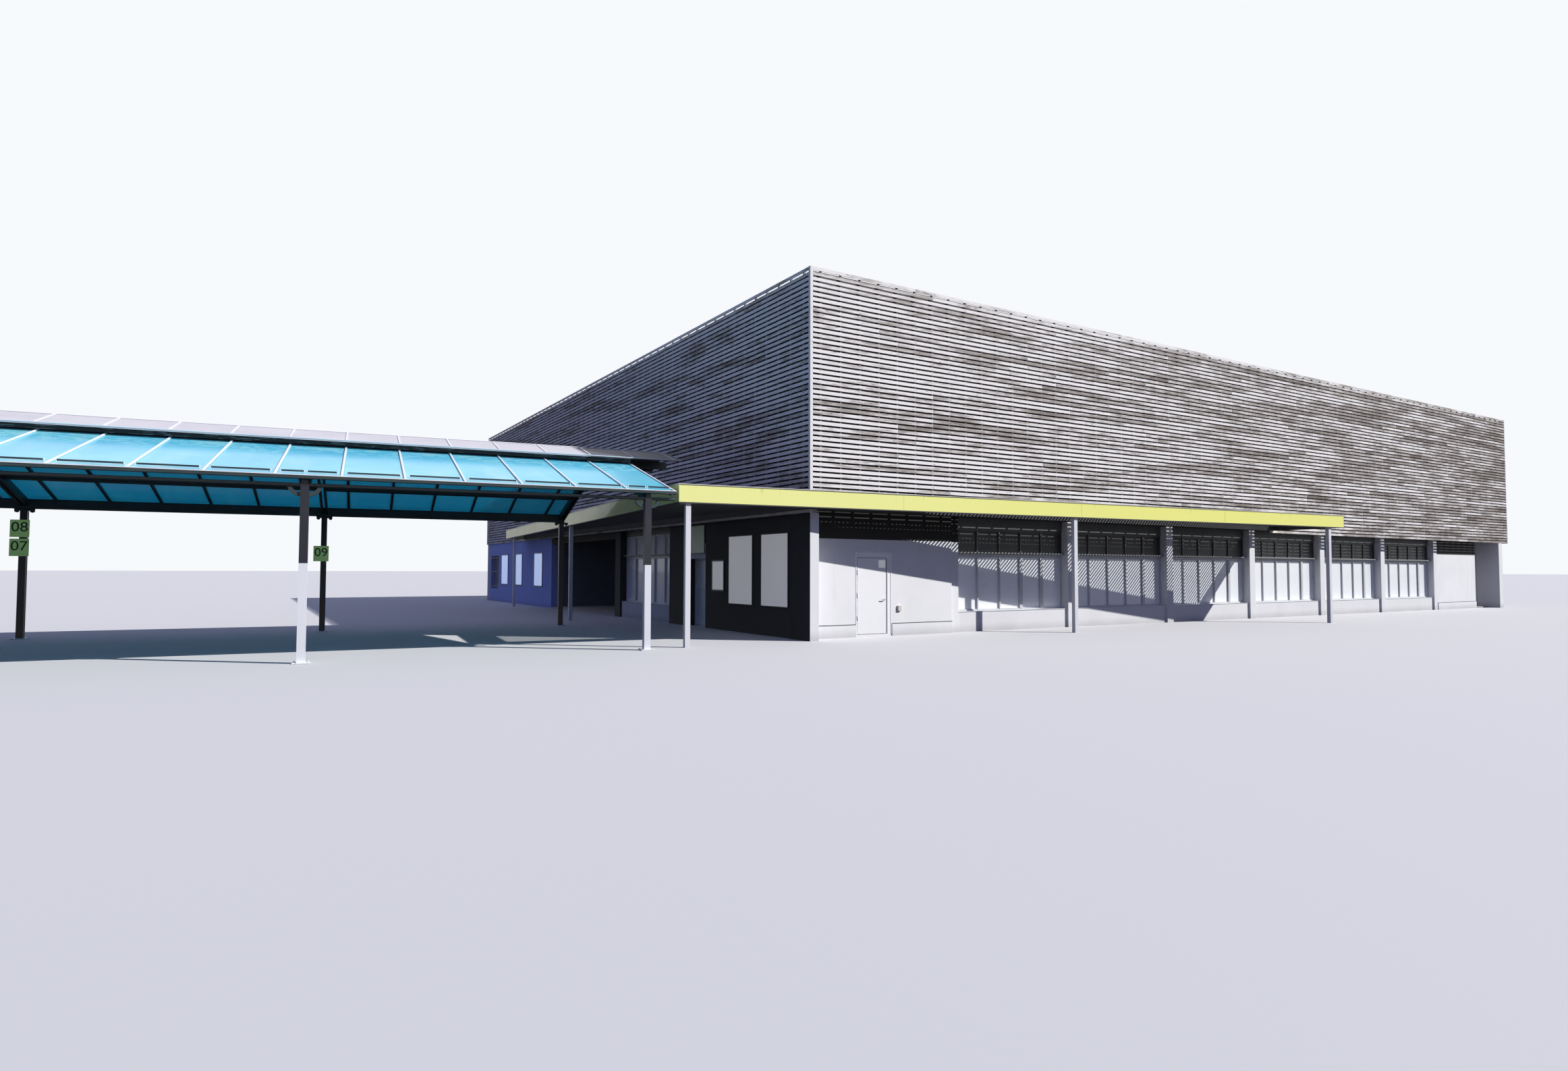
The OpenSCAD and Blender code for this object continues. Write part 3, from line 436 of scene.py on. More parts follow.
LIGHT_WOOD, MID_WOOD, DARK_WOOD = (0.87, 0.84, 0.83), (0.43, 0.39, 0.365), (0.155, 0.127, 0.11)
boards = weathered_boards("silvered_boards", LIGHT_WOOD, MID_WOOD, DARK_WOOD, -0.93)
corner_boards = weathered_boards("corner_boards", (0.82, 0.81, 0.81), (0.7, 0.69, 0.69), MID_WOOD,
                                 -1.1)
batten_wood = weathered_boards("batten_wood", (0.34, 0.33, 0.32), (0.20, 0.19, 0.18), DARK_WOOD,
                               -1.0)
front_render = rendered_wall("front_render", (0.85, 0.85, 0.86), (0.56, 0.56, 0.58), 1.253)
pier_render = rendered_wall("pier_render", (0.80, 0.80, 0.82), (0.56, 0.56, 0.58), None, -10.213)
sill_render = rendered_wall("sill_render", (0.80, 0.80, 0.81), (0.58, 0.58, 0.58))
black_render = rendered_wall("black_render", (0.026, 0.028, 0.034), (0.05, 0.05, 0.055))
# The rear wall's blue is painted shade: light render in the shade, with the blue of the sky painted
# into its colour.
rear_render_painted_blue_shade = rendered_wall("rear_render", (0.40, 0.50, 1.0), (0.32, 0.39, 0.76))
back_render = rendered_wall("back_render", (0.66, 0.67, 0.70), (0.48, 0.48, 0.5))
inner_paint = plain_finish("inner_paint", (0.20, 0.21, 0.24), 0.8, (0.14, 0.15, 0.17))
dark_sheeting = plain_finish("dark_sheeting", (0.02, 0.02, 0.022), 0.6, (0.035, 0.034, 0.034))
soffit_board = plain_finish("soffit_board", (0.05, 0.05, 0.055), 0.7, (0.03, 0.03, 0.033))
floor_concrete = plain_finish("floor_concrete", (0.42, 0.41, 0.40), 0.85, (0.30, 0.29, 0.28), 1.0)
frame_coat = window_frame_coat()
cover_coat = coated_metal("cover_coat", (0.62, 0.63, 0.65))
header_coat = coated_metal("header_coat", (0.10, 0.105, 0.105), 0.45, (0.2, 0.2, 0.19), 0.4)
post_coat = coated_metal("post_coat", (0.80, 0.81, 0.84), 0.4, (0.4, 0.4, 0.4))
deck_coat = coated_metal("deck_coat", (0.06, 0.062, 0.065), 0.5)
gutter_coat = coated_metal("gutter_coat", (0.05, 0.05, 0.052), 0.5)
fascia_strip = coated_metal("fascia_strip", (0.72, 0.74, 0.5), 0.4)
cap_coat = coated_metal("cap_coat", (0.22, 0.225, 0.23), 0.4)
sill_coat = coated_metal("sill_coat", (0.66, 0.67, 0.68), 0.4)
joint_sheet = plain_finish("joint_sheet", (0.10, 0.42, 0.52), 0.3, (0.07, 0.33, 0.42))
steel_coat = coated_metal("steel_coat", (0.022, 0.040, 0.046), 0.35, (0.06, 0.08, 0.08), 0.35)
bar_coat = coated_metal("bar_coat", (0.80, 0.82, 0.84), 0.35, (0.5, 0.5, 0.5))
clip_coat = coated_metal("clip_coat", (0.035, 0.04, 0.045), 0.4)
vent_coat = coated_metal("vent_coat", (0.07, 0.072, 0.08), 0.45)
louvre_coat = louvre_metal()
coping_coat = coated_metal("coping_coat", (0.30, 0.31, 0.32), 0.45)
case_coat = coated_metal("case_coat", (0.05, 0.052, 0.06), 0.35)
poster_sheet = sheet_with_painted_glow("poster_sheet", (0.80, 0.83, 0.86), (0.68, 0.72, 0.76), (0.17, 0.17, 0.17),
                         (0.25, 0.33, 0.55))
sign_sheet = sheet_with_painted_glow("sign_sheet", (0.55, 0.62, 0.45), (0.42, 0.48, 0.36), (0.01, 0.013, 0.008))
plate_sheet = sheet_with_painted_glow("plate_sheet", (0.46, 0.72, 0.30), (0.38, 0.60, 0.25), (0.05, 0.09, 0.03))
number_paint = plain_finish("number_paint", (0.02, 0.022, 0.02), 0.5, (0.04, 0.04, 0.04))
door_coat = coated_metal("door_coat", (0.90, 0.90, 0.91), 0.38, (0.6, 0.6, 0.6), 0.12)
handle_steel = coated_metal("handle_steel", (0.52, 0.52, 0.54), 0.25)
box_plastic = plain_finish("box_plastic", (0.66, 0.62, 0.54), 0.5, (0.55, 0.52, 0.46))

NODE_FINISH = {
    floor_concrete: ["floor_slab"],
    pier_render: ["front_piers"],
    front_render: ["front_walls", "lintel_walls"],
    sill_render: ["sill_walls"],
    black_render: ["left_walls"],
    rear_render_painted_blue_shade: ["left_rear_wall"],
    back_render: ["back_wall", "right_wall"],
    header_coat: ["window_headers"],
    frame_coat: ["window_frames"],
    window_film(): ["window_panes"],
    dark_sheet(): ["upper_panels"],
    inner_paint: ["recess_side_walls", "recess_back_walls"],
    soffit_board: ["soffit_slabs"],
    dark_sheeting: ["upper_long_walls", "upper_end_walls"],
    roof_sheet(): ["roof_deck"],
    boards: ["front_screen", "left_screen", "back_screen", "right_screen"],
    batten_wood: ["screen_battens"],
    corner_boards: ["corner_strips"],
    fascia_paint(): ["front_fascia", "side_fascias"],
    post_coat: ["walkway_posts"],
    canopy_post_shade_paint(): ["drive_posts"],
    deck_coat: ["walkway_beams", "front_deck", "side_deck"],
    steel_coat: ["post_brackets", "eave_beams", "rafters", "purlins"],
    bar_coat: ["glazing_bars"],
    tinted_roof(): ["roof_glazing"],
    ridge_sheet(): ["ridge_roof"],
    vent_coat: ["ridge_vents"],
    plate_sheet: ["number_plates"],
    case_coat: ["poster_cases"],
    door_coat: ["door_frame", "service_door"],
    handle_steel: ["door_handle"],
}
for finish, names in NODE_FINISH.items():
    for name in names:
        for spot in nodes[name].material_slots:
            spot.material = finish


# ---------------------------------------------------------------- modelling

def pick(*objects):
    """Selects the objects; the last one is the active one."""
    bpy.ops.object.select_all(action="DESELECT")
    for obj in objects:
        obj.select_set(True)
    bpy.context.view_layer.objects.active = objects[-1]


def settled(**bevel):
    """The new object with its placing applied to its mesh and its edges eased."""
    obj = bpy.context.object
    bpy.ops.object.transform_apply(location=True, rotation=True, scale=True)
    pick(obj)
    modifier = obj.modifiers.new("bevel", "BEVEL")
    for key, value in bevel.items():
        setattr(modifier, key, value)
    bpy.ops.object.modifier_apply(modifier=modifier.name)
    return obj


def block(low, size, bevel=2.0, segments=1):
    """Block with eased edges, from its low corner and its size."""
    bpy.ops.object.select_all(action="DESELECT")
    bpy.ops.mesh.primitive_cube_add(size=1, location=[a + b / 2 for a, b in zip(low, size)],
                                    scale=size)
    return settled(width=bevel, segments=segments, limit_method="NONE")


def rod(start, end, radius, sides=10):
    """Round bar between two points."""
    start, end = Vector(start), Vector(end)
    line = end - start
    bpy.ops.object.select_all(action="DESELECT")
    bpy.ops.mesh.primitive_cylinder_add(vertices=sides, radius=radius, depth=line.length,
                                        location=(start + end) / 2,
                                        rotation=line.to_track_quat("Z", "Y").to_euler())
    return settled(width=radius * 0.15, segments=1, angle_limit=math.radians(50))


def carried(obj, place):
    """Moves a mesh into another frame and keeps its faces outward where the frame mirrors."""
    obj.data.transform(place)
    if place.determinant() < 0:
        obj.data.flip_normals()
    return obj


def repeated(pattern, places, tones=None):
    """Copies of a pattern at many places; each keeps a tone of its own."""
    made = []
    for index, place in enumerate(places):
        twin = pattern.copy()
        twin.data = pattern.data.copy()
        carried(twin, place)
        if tones:
            tone = twin.data.attributes.new("tone", "FLOAT", "POINT")
            tone.data.foreach_set("value", [tones[index]] * len(twin.data.vertices))
        bpy.context.collection.objects.link(twin)
        made.append(twin)
    bpy.data.objects.remove(pattern)
    return made


def finished(name, parts, finish, place, replaces=(), body="building"):
    """Joins parts into one piece, puts it in its place and lets it ride on a body."""
    pick(*parts)
    if len(parts) > 1:
        bpy.ops.object.join()
    obj = bpy.context.object
    obj.name = obj.data.name = name
    if place is not None:
        carried(obj, place)
    obj.data.materials.clear()
    obj.data.materials.append(finish)
    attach(obj, body)
    if replaces:
        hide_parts(*replaces)


def moved(x, y, z, sx=1.0, sy=1.0, sz=1.0):
    """Shift after a stretch along each axis."""
    return Matrix.Translation((x, y, z)) @ Matrix.Diagonal((sx, sy, sz, 1))


# ---------------------------------------------------------------- board screen

def batten_places(length):
    """Where the battens of a screen stand along it."""
    count = int((length - 2 * STRIP_W - BATTEN_W) // BATTEN_PITCH)
    start = (length - count * BATTEN_PITCH - BATTEN_W) / 2
    return [start + k * BATTEN_PITCH for k in range(count + 1)]


def screen_boards(name, node, length, place, seed, low_start=STRIP_W):
    """Rows of boards in lengths that meet on the battens, no two quite alike."""
    end_gap, sway, foot_gap, slim, sag = 1.6, 1.6, 3.5, 6, 2.2
    chance = random.Random(seed)
    joints = [x + BATTEN_W / 2 for x in batten_places(length)]
    places, tones = [], []
    for row in range(BOARD_ROWS):
        z = SCREEN_Z + row * BOARD_PITCH
        start = low_start if row < LOW_ROWS else STRIP_W
        cuts, at = [start], chance.randint(3, 8)
        while at < len(joints) - 3:
            if joints[at] > start + BATTEN_PITCH:
                cuts.append(joints[at])
            at += chance.randint(6, 9)
        cuts.append(length - STRIP_W)
        row_tone = chance.uniform(-0.12, 0.12)
        for left, right in zip(cuts, cuts[1:]):
            drop = chance.uniform(0, sag)
            places.append(moved(left + end_gap / 2, chance.uniform(0, sway),
                                z + foot_gap + drop / 2, (right - left - end_gap) / METRE, 1,
                                (BOARD_H - slim - drop) / BOARD_H))
            tones.append(min(1, max(0, chance.gauss(0.45, 0.2) + row_tone)))
    pattern = block((0, 0, 0), (METRE, BOARD_T, BOARD_H), 1.2)
    finished(name, repeated(pattern, places, tones), boards, place, (node,))


def screen_battens():
    """Battens behind the boards of all four screens."""
    front = 11
    parts = []
    for length, place in ((FRONT_L, ROW), (FRONT_L, BACK), (SIDE_L, LEFT), (SIDE_L, RIGHT)):
        pattern = block((0, front, 0), (BATTEN_W, STRIP_W - front, METRE), 1.5)
        spots = []
        for x in batten_places(length):
            short = LOW_ROWS * BOARD_PITCH if place is ROW and x < CANOPY_END else 0
            spots.append(moved(x, 0, SCREEN_Z + short, 1, 1,
                               (SCREEN_TOP - SCREEN_Z - short) / METRE))
        made = repeated(pattern, spots, [(i * 0.37) % 1 for i in range(len(spots))])
        parts += [carried(part, place) for part in made]
    finished("batten_rows", parts, batten_wood, None, ("screen_battens",))


# ---------------------------------------------------------------- walkway canopy

def deck_slats():
    """Narrow slats square to each fascia, which let stripes of sun through."""
    thick, first, reach, side_gap = 7, 30, 90, 3
    sin, cos = math.sin(TURN), math.cos(TURN)
    corner_x = WALK_LEFT * cos + WALK_FRONT * sin
    front, side = [], []
    x = corner_x + first
    while x < FASCIA_FRONT_L - FASCIA_T - SLAT_W:
        end = (WALK_FRONT + reach - x * sin) / cos
        front.append(moved(x, GUTTER_W, DECK_Z, 1, end - GUTTER_W, 1))
        x += SLAT_PITCH
    finished("front_slats", repeated(block((0, 0, 0), (SLAT_W, 1, thick), 0.0004), front),
             deck_coat, WALK, ("front_deck",))
    y = GUTTER_W
    while y < FASCIA_SIDE_L - FASCIA_T - SLAT_W:
        end = min(corner_x, (WALK_LEFT + (y + SLAT_W) * sin) / cos) - side_gap
        side.append(moved(GUTTER_W, y, DECK_Z, end - GUTTER_W, 1, 1))
        y += SLAT_PITCH
    finished("side_slats", repeated(block((0, 0, 0), (1, SLAT_W, thick), 0.0004), side),
             deck_coat, WALK, ("side_deck",))


def deck_gutters():
    """Shallow gutters behind the fascias, each with a lip on its inner side."""
    z, sheet_t, lip_w, lip_h, lip_gap = 1677, 5, 4, 22, 5
    inner = GUTTER_W - FASCIA_T
    front_l, side_y = FASCIA_FRONT_L - 2 * FASCIA_T, GUTTER_W + lip_gap
    side_l = FASCIA_SIDE_L - GUTTER_W - 30
    parts = [block((FASCIA_T, FASCIA_T, z), (front_l, inner, sheet_t), 1.0),
             block((FASCIA_T, GUTTER_W, z), (front_l, lip_w, lip_h), 1.0),
             block((FASCIA_T, side_y, z), (inner, side_l, sheet_t), 1.0),
             block((GUTTER_W, side_y, z), (lip_w, side_l, lip_h), 1.0)]
    finished("deck_gutters", parts, gutter_coat, WALK)


def fascia_trims():
    """Drip edges under the fascias, and cover strips over the joints of their sheets."""
    proud, edge_t, edge_h = 3, 8, 14
    low = FASCIA_Z - proud
    parts = [block((-proud, -proud, low), (FASCIA_FRONT_L + 2 * proud, edge_t, edge_h), 1.5),
             block((-proud, 6, low), (edge_t, FASCIA_SIDE_L - edge_t, edge_h), 1.5)]
    finished("drip_edges", parts, gutter_coat, WALK)
    front_joints, side_joints = (2940, 5890, 8830), (2950, 5900, 8850, 11000)
    z, w, h, out = FASCIA_Z + 12, 3, FASCIA_H - edge_h, 1.2
    joints = [block((x, -out, z), (w, 2, h), 0.4) for x in front_joints]
    joints += [block((-out, y, z), (2, w, h), 0.4) for y in side_joints]
    finished("sheet_joints", joints, fascia_strip, WALK)


# ---------------------------------------------------------------- drive-through canopy

def slope_matrix(base, x, run, lift=0.0):
    """Frame whose y runs up the slope from the eave, at a place along it."""
    rise = math.tan(SLOPE)
    return (base @ Matrix.Translation((x, run, EAVE_Z + rise * run + lift))
            @ Matrix.Rotation(SLOPE, 4, "X"))


def roof_fittings():
    """Dark snow bars with white end clips over the panels, just above each eave."""
    joint_gap, frame_gap, shortest, clear = 44, 16, 100, 60
    bar_run, bar_lift, clip_run, clip_w = 128, 10, 124, 9
    bars, clips = [], []
    for base, start in SLOPES:
        for k in range(PANELS):
            left = max(k * PANEL_W, start) + joint_gap
            right = (k + 1) * PANEL_W - joint_gap
            if right - left < shortest:
                continue
            spans = [(left, right)]
            for post in POST_PLACES:
                if left + clear < post < right - clear:
                    spans = [(left, post - frame_gap), (post + frame_gap, right)]
            for a, b in spans:
                bars.append(slope_matrix(base, a, bar_run, bar_lift)
                            @ moved(0, 0, 0, b - a, 1, 1))
                clips += [slope_matrix(base, end, clip_run) for end in (a - clip_w, b)]
    finished("snow_bars", repeated(block((0, 0, 0), (1, 11, 15), 0.0006), bars), clip_coat, None)
    finished("snow_clips", repeated(block((0, 0, 0), (clip_w, 18, 24), 1.5), clips), bar_coat,
             None)


def glazing_caps():
    """White caps on the joints of the roof panels over tinted strips, and thin eave trims."""
    strip_w, cap_w, cap_h = 34, 20, 13
    length = SLOPE_W / math.cos(SLOPE)
    strips, caps, trims = [], [], []
    for base, start in SLOPES:
        for k in range(PANELS + 1):
            x = min(max(k * PANEL_W - strip_w / 2, start), DRIVE_L - strip_w)
            strips.append(slope_matrix(base, x, 0, -GLAZE_T))
            caps.append(slope_matrix(base, x + (strip_w - cap_w) / 2, 0))
        trims.append(carried(block((start, -8, EAVE_Z + 1), (DRIVE_L - start, 12, 10), 1.5),
                             base))
    finished("panel_joints",
             repeated(block((0, 0, 0), (strip_w, length, GLAZE_T), 0.8), strips), joint_sheet,
             None)
    parts = repeated(block((0, 0, 0), (cap_w, length, cap_h), 2), caps) + trims
    finished("glazing_caps", parts, bar_coat, None, ("glazing_bars",))


def eaves():
    """Slim near eave with its rail between the posts, and the deep far eave beam."""
    far_l = DRIVE_L - FAR_START
    edge_z, far_edge_z, beam_z, beam_y, beam_w = 1669, 1622, 1577, 40, 70
    near = [block((0, -4, edge_z), (DRIVE_L, 12, 27), 2),
            block((0, 8, edge_z), (DRIVE_L, 40, 3), 1),
            block((0, 50, 1603), (DRIVE_L, 50, 30), 4)]
    far = [block((FAR_START, 0, far_edge_z), (far_l, 16, 65), 2),
           block((FAR_START, beam_y, beam_z), (far_l, beam_w, 120), 4),
           block((FAR_START, beam_y + beam_w + 1, beam_z), (far_l, 14, 6), 1)]
    head_w, head_z, head_h = 56, 1618, 78
    heads = [block((post - head_w / 2, POST_IN - head_w / 2, head_z), (head_w, head_w, head_h), 3)
             for post in POST_PLACES]
    parts = ([carried(part, DRIVE) for part in near] + [carried(part, FAR) for part in far]
             + [carried(part, DRIVE) for part in heads])
    finished("eaves", parts, steel_coat, None, ("eave_beams",))


def ridge_fittings():
    """White bars over the ridge roof, its edge strips and capping, and the vent's louvres."""
    foot = SLOPE_W - RIDGE_LAP
    span = (DRIVE_W / 2 - foot) / math.cos(SLOPE)
    top = RIDGE_LIFT + (RIDGE_T - GLAZE_T) / math.cos(SLOPE)
    edge_sink, edge_out, edge_end, bar_w = 7, 5, 2, 15
    bars, edges, louvres = [], [], []
    for base, start in SLOPES:
        for k in range(-1, PANELS + 2):
            x = k * PANEL_W
            if -RIDGE_RUN < x < DRIVE_L + RIDGE_RUN:
                bars.append(slope_matrix(base, x - (bar_w + 1) / 2, foot, top)
                            @ moved(0, 0, 0, 1, span, 1))
        edges.append(slope_matrix(base, edge_end - RIDGE_RUN, foot - edge_out, top - edge_sink)
                     @ moved(0, 0, 0, RIDGE_L - 2 * edge_end, 1, 1))
        for lift, depth in ((22, 34), (38, 30), (54, 26)):
            louvres.append(slope_matrix(base, start, SLOPE_W - depth, lift)
                           @ moved(0, 0, 0, DRIVE_L - start, 1, 1))
    parts = repeated(block((0, 0, 0), (bar_w, 1, 6), 0.0005), bars)
    parts += repeated(block((0, 0, 0), (1, 7, 9), 0.0005), edges)
    crown_w = 60
    crown_z = EAVE_Z + math.tan(SLOPE) * DRIVE_W / 2 + top - edge_sink
    crown = block((-RIDGE_RUN, (DRIVE_W - crown_w) / 2, crown_z), (RIDGE_L, crown_w, 9), 3)
    parts.append(carried(crown, DRIVE))
    finished("ridge_bars", parts, bar_coat, None)
    finished("vent_louvres", repeated(block((0, 0, 0), (1, 9, 3), 0.0004), louvres), louvre_coat,
             None)


def gutter_seam():
    """Seam along the far eave beam."""
    seam = block((FAR_START, DRIVE_W - 112, 1652), (DRIVE_L - FAR_START, 3, 4), 0.8)
    finished("gutter_seam", [seam], vent_coat, DRIVE)


def base_plates():
    """Bolted plates under the posts of the drive-through canopy."""
    plate_w, plate_t, bolt_in = 150, 8, 58
    plates, bolts = [], []
    for x in POST_PLACES:
        for y in (POST_IN, DRIVE_W - POST_IN):
            plates.append(moved(x, y, 0))
            bolts += [moved(x + dx, y + dy, plate_t)
                      for dx in (-bolt_in, bolt_in) for dy in (-bolt_in, bolt_in)]
    plate = block((-plate_w / 2, -plate_w / 2, 0), (plate_w, plate_w, plate_t), 1.5)
    parts = repeated(plate, plates) + repeated(rod((0, 0, 0), (0, 0, 10), 7, 6), bolts)
    finished("base_plates", parts, post_coat, DRIVE)


def bay_numbers():
    """Plain bay numbers on the plates of the far posts."""
    raised, plate_t, plate_shift, half_h = 0.8, 8, 30, 118
    for frame_index, low, digits in ((1, 960, "09"), (2, 1230, "08"), (2, 1000, "07")):
        bpy.ops.object.select_all(action="DESELECT")
        bpy.ops.object.text_add(rotation=(math.pi / 2, 0, 0))
        label = bpy.context.object
        label.data.body, label.data.size, label.data.extrude = digits, 165, raised
        label.data.align_x, label.data.align_y = "CENTER", "CENTER"
        bpy.ops.object.convert(target="MESH")
        bpy.ops.object.transform_apply(location=True, rotation=True, scale=True)
        x = -DRIVE_GAP - (POST_PLACES[frame_index] + plate_shift)
        y = -DRIVE_FRONT + DRIVE_W - POST_IN - POST_W / 2 - plate_t - raised
        carried(label, Matrix.Translation((x, y, low + half_h)))
        finished(f"bay_number_{digits}", [label], number_paint, WALK)


# ---------------------------------------------------------------- ground floor

def window_covers():
    """Mullion covers, broad beside the last pane, transom caps and sill flashings."""
    panes, broad, narrow = 5, 62, 22
    cover_out, cover_z, cover_h = 9, SILL_Z + 26, TRANSOM_Z - SILL_Z - 22
    cap_out, cap_z, cap_h = 60, TRANSOM_Z + 52, 22
    upper_w, upper_out, upper_z, upper_h = 12, 4, TRANSOM_Z + 76, 327
    sill_out, sill_z, sill_t = 92, SILL_Z - 2, 7
    parts, caps, sills = [], [], []
    bays = [(a, b, ROW, WINDOW_FACE) for a, b in BAYS] + [(4140, 6305, LEFT, LEFT_WINDOW_FACE)]
    for start, end, place, face in bays:
        pitch = (end - start - BAR_W) / panes
        wide = [panes - 1] + ([panes - 2] if start == BAYS[0][0] else [])
        centres = [start + k * pitch + BAR_W / 2 for k in range(1, panes)]
        for k, x in enumerate(centres, 1):
            w = broad if k in wide else narrow
            parts.append(carried(block((x - w / 2, face - cover_out, cover_z),
                                       (w, cover_out + 1, cover_h), 2), place))
        caps.append(carried(block((start + 2, face - cap_out, cap_z),
                                  (end - start - 4, cap_out + 2, cap_h), 2.5), place))
        for x in centres:
            caps.append(carried(block((x - upper_w / 2, face - upper_out, upper_z),
                                      (upper_w, upper_out + 1, upper_h), 1), place))
        sills.append(carried(block((start + 1, face - sill_out, sill_z),
                                   (end - start - 2, sill_out + 2, sill_t), 2), place))
    finished("mullion_covers", parts, cover_coat, None)
    finished("transom_caps", caps, cap_coat, None)
    finished("sill_flashings", sills, sill_coat, None)


def plinth_shadow_beads():
    """Drip bead along the top of the plinth, near black: a painted shadow line."""
    plinth_z = 158
    runs = [(130, DOORWAY[0]), (DOORWAY[1], 2505), (17225, 19215)]
    # The bead's near black stands in for the shadow line over the plinth.
    parts = [block((a, WALL_FACE - 16, plinth_z), (b - a, 18, 7), 1.5) for a, b in runs]
    finished("plinth_shadow_beads", parts, dark_sheeting, ROW)


def door_details():
    """Beads round the frame, gaskets, a bare plate on the leaf and the wall box beside it."""
    left, right, top, broad, slim = DOORWAY[0] + 6, DOORWAY[1] - 8, 1102, 14, 12
    bead_y, bead_t, leaf_end = WALL_FACE - 5, 6, LEAF_X + LEAF_W
    beads = [block((x, bead_y, FLOOR_T), (w, bead_t, top - FLOOR_T), 1.5)
             for x, w in ((left, broad), (leaf_end + 16, broad), (right - slim, slim))]
    beads.append(block((left, bead_y, top - slim), (right - left, bead_t, slim), 1.5))
    finished("door_trims", beads, door_coat, ROW)
    gap, gasket_y = 6, WALL_FACE - 1.5
    gaskets = [block((leaf_end, gasket_y, FLOOR_T + gap), (8, 2, LEAF_H), 0.4),
               block((LEAF_X, gasket_y, FLOOR_T + gap + LEAF_H), (LEAF_W, 2, gap), 0.4)]
    finished("door_gaskets", gaskets, number_paint, ROW)
    plate_x, plate_z, plate_w, plate_h = 1240, 890, 105, 98
    plate = block((plate_x, WALL_FACE - 3, plate_z), (plate_w, 2.5, plate_h), 0.8)
    finished("door_plate", [plate], poster_sheet, ROW, body="service_door")
    box_x, box_z, box_w, box_h, box_out = 1545, 322, 58, 72, 26
    wall_box = block((box_x, WALL_FACE - box_out, box_z), (box_w, box_out + 1, box_h), 4, 2)
    finished("wall_box", [wall_box], box_plastic, ROW)


def case(x, z, w, h, border):
    """Flat case: an outer frame and a sunk sheet."""
    middle, thick, rim, sunk = 18, 14, 0.5, 5
    bpy.ops.object.select_all(action="DESELECT")
    bpy.ops.mesh.primitive_cube_add(size=1, location=(x + w / 2, middle, z + h / 2),
                                    scale=(w, thick, h))
    obj = bpy.context.object
    bpy.ops.object.transform_apply(location=True, rotation=True, scale=True)
    bpy.ops.object.mode_set(mode="EDIT")
    bpy.ops.mesh.select_all(action="DESELECT")
    bpy.ops.object.mode_set(mode="OBJECT")
    for face in obj.data.polygons:
        face.select = face.normal.y < -0.5
    bpy.ops.object.mode_set(mode="EDIT")
    bpy.ops.mesh.inset(thickness=border, depth=0)
    bpy.ops.mesh.inset(thickness=rim, depth=-sunk)
    bpy.ops.object.mode_set(mode="OBJECT")
    return obj


def poster_cases():
    """Framed cases on the left wall, their sheets left bare, and the entrance sign."""
    rear_start, rear_l = 10500, 4750
    cases = [(525, 380, 675, 950, 8), (1430, 380, 675, 950, 8)]
    cases += [(rear_start + share * rear_l, 460, 675, 790, 20) for share in (0.143, 0.505, 0.79)]
    cases.append((2245, 550, 380, 450, 20))
    parts, sheets = [], []
    for x, z, w, h, border in cases:
        parts.append(case(x, z, w, h, border))
        edge = border + 2
        sheets.append(block((x + edge, 13.5, z + edge), (w - 2 * edge, 4, h - 2 * edge), 0.8))
    sign_x, sign_z, sign_w, sign_h, edge = 2867.5, 1100, 570, 430, 12
    parts.append(case(sign_x, sign_z, sign_w, sign_h, 10))
    finished("case_frames", parts, case_coat, LEFT, ("poster_cases",))
    finished("case_sheets", sheets, poster_sheet, LEFT)
    sign = block((sign_x + edge, 12, sign_z + edge), (sign_w - 2 * edge, 5, sign_h - 2 * edge), 1)
    finished("entrance_sign", [sign], sign_sheet, LEFT)


def window_grille():
    """Bars in front of the small rear window."""
    window_w, bar_pitch, bar_foot, bar_top = 850, 101, 350, 1222
    start = SIDE_L - 450 - window_w
    parts = []
    for k in range(8):
        y = start + 70 + k * bar_pitch
        parts.append(rod((y, 20, bar_foot), (y, 20, bar_top), 7, 8))
    parts += [block((start + 10, 12, z), (window_w - 20, 15, 16), 2) for z in (400, 790, 1160)]
    finished("window_grille", parts, clip_coat, LEFT)


def roof_ring(inset, thick, low, height, bevel, end_gap):
    """Four blocks round the roof; the two at the ends fit between the two long ones."""
    side_y = inset + thick + end_gap
    length, end_l = FRONT_L - 2 * inset, SIDE_L - 2 * side_y
    return [block((inset, inset, low), (length, thick, height), bevel),
            block((inset, SIDE_L - inset - thick, low), (length, thick, height), bevel),
            block((inset, side_y, low), (thick, end_l, height), bevel),
            block((FRONT_L - inset - thick, side_y, low), (thick, end_l, height), bevel)]


def roof_details():
    """Lapped upstands round the roof, a lining behind the top boards and copings on the walls."""
    wall_top = SCREEN_TOP - PARAPET_H
    finished("roof_upstands", roof_ring(225, 40, wall_top - 200, 60, 8, 2), gutter_coat, ROW)
    finished("parapet_lining", roof_ring(45, 10, wall_top, 190, 2, 1), dark_sheeting, ROW)
    finished("wall_copings", roof_ring(56, 174, wall_top, 12, 3, 1), coping_coat, ROW)


screen_boards("front_boards", "front_screen", FRONT_L, ROW, 11, CANOPY_END)
screen_boards("left_boards", "left_screen", SIDE_L, LEFT, 12)
screen_boards("back_boards", "back_screen", FRONT_L, BACK, 13)
screen_boards("right_boards", "right_screen", SIDE_L, RIGHT, 14)
screen_battens()
deck_slats()
deck_gutters()
fascia_trims()
roof_fittings()
glazing_caps()
eaves()
ridge_fittings()
gutter_seam()
base_plates()
bay_numbers()
window_covers()
plinth_shadow_beads()
door_details()
poster_cases()
window_grille()
roof_details()


# ---------------------------------------------------------------- stage, light and camera

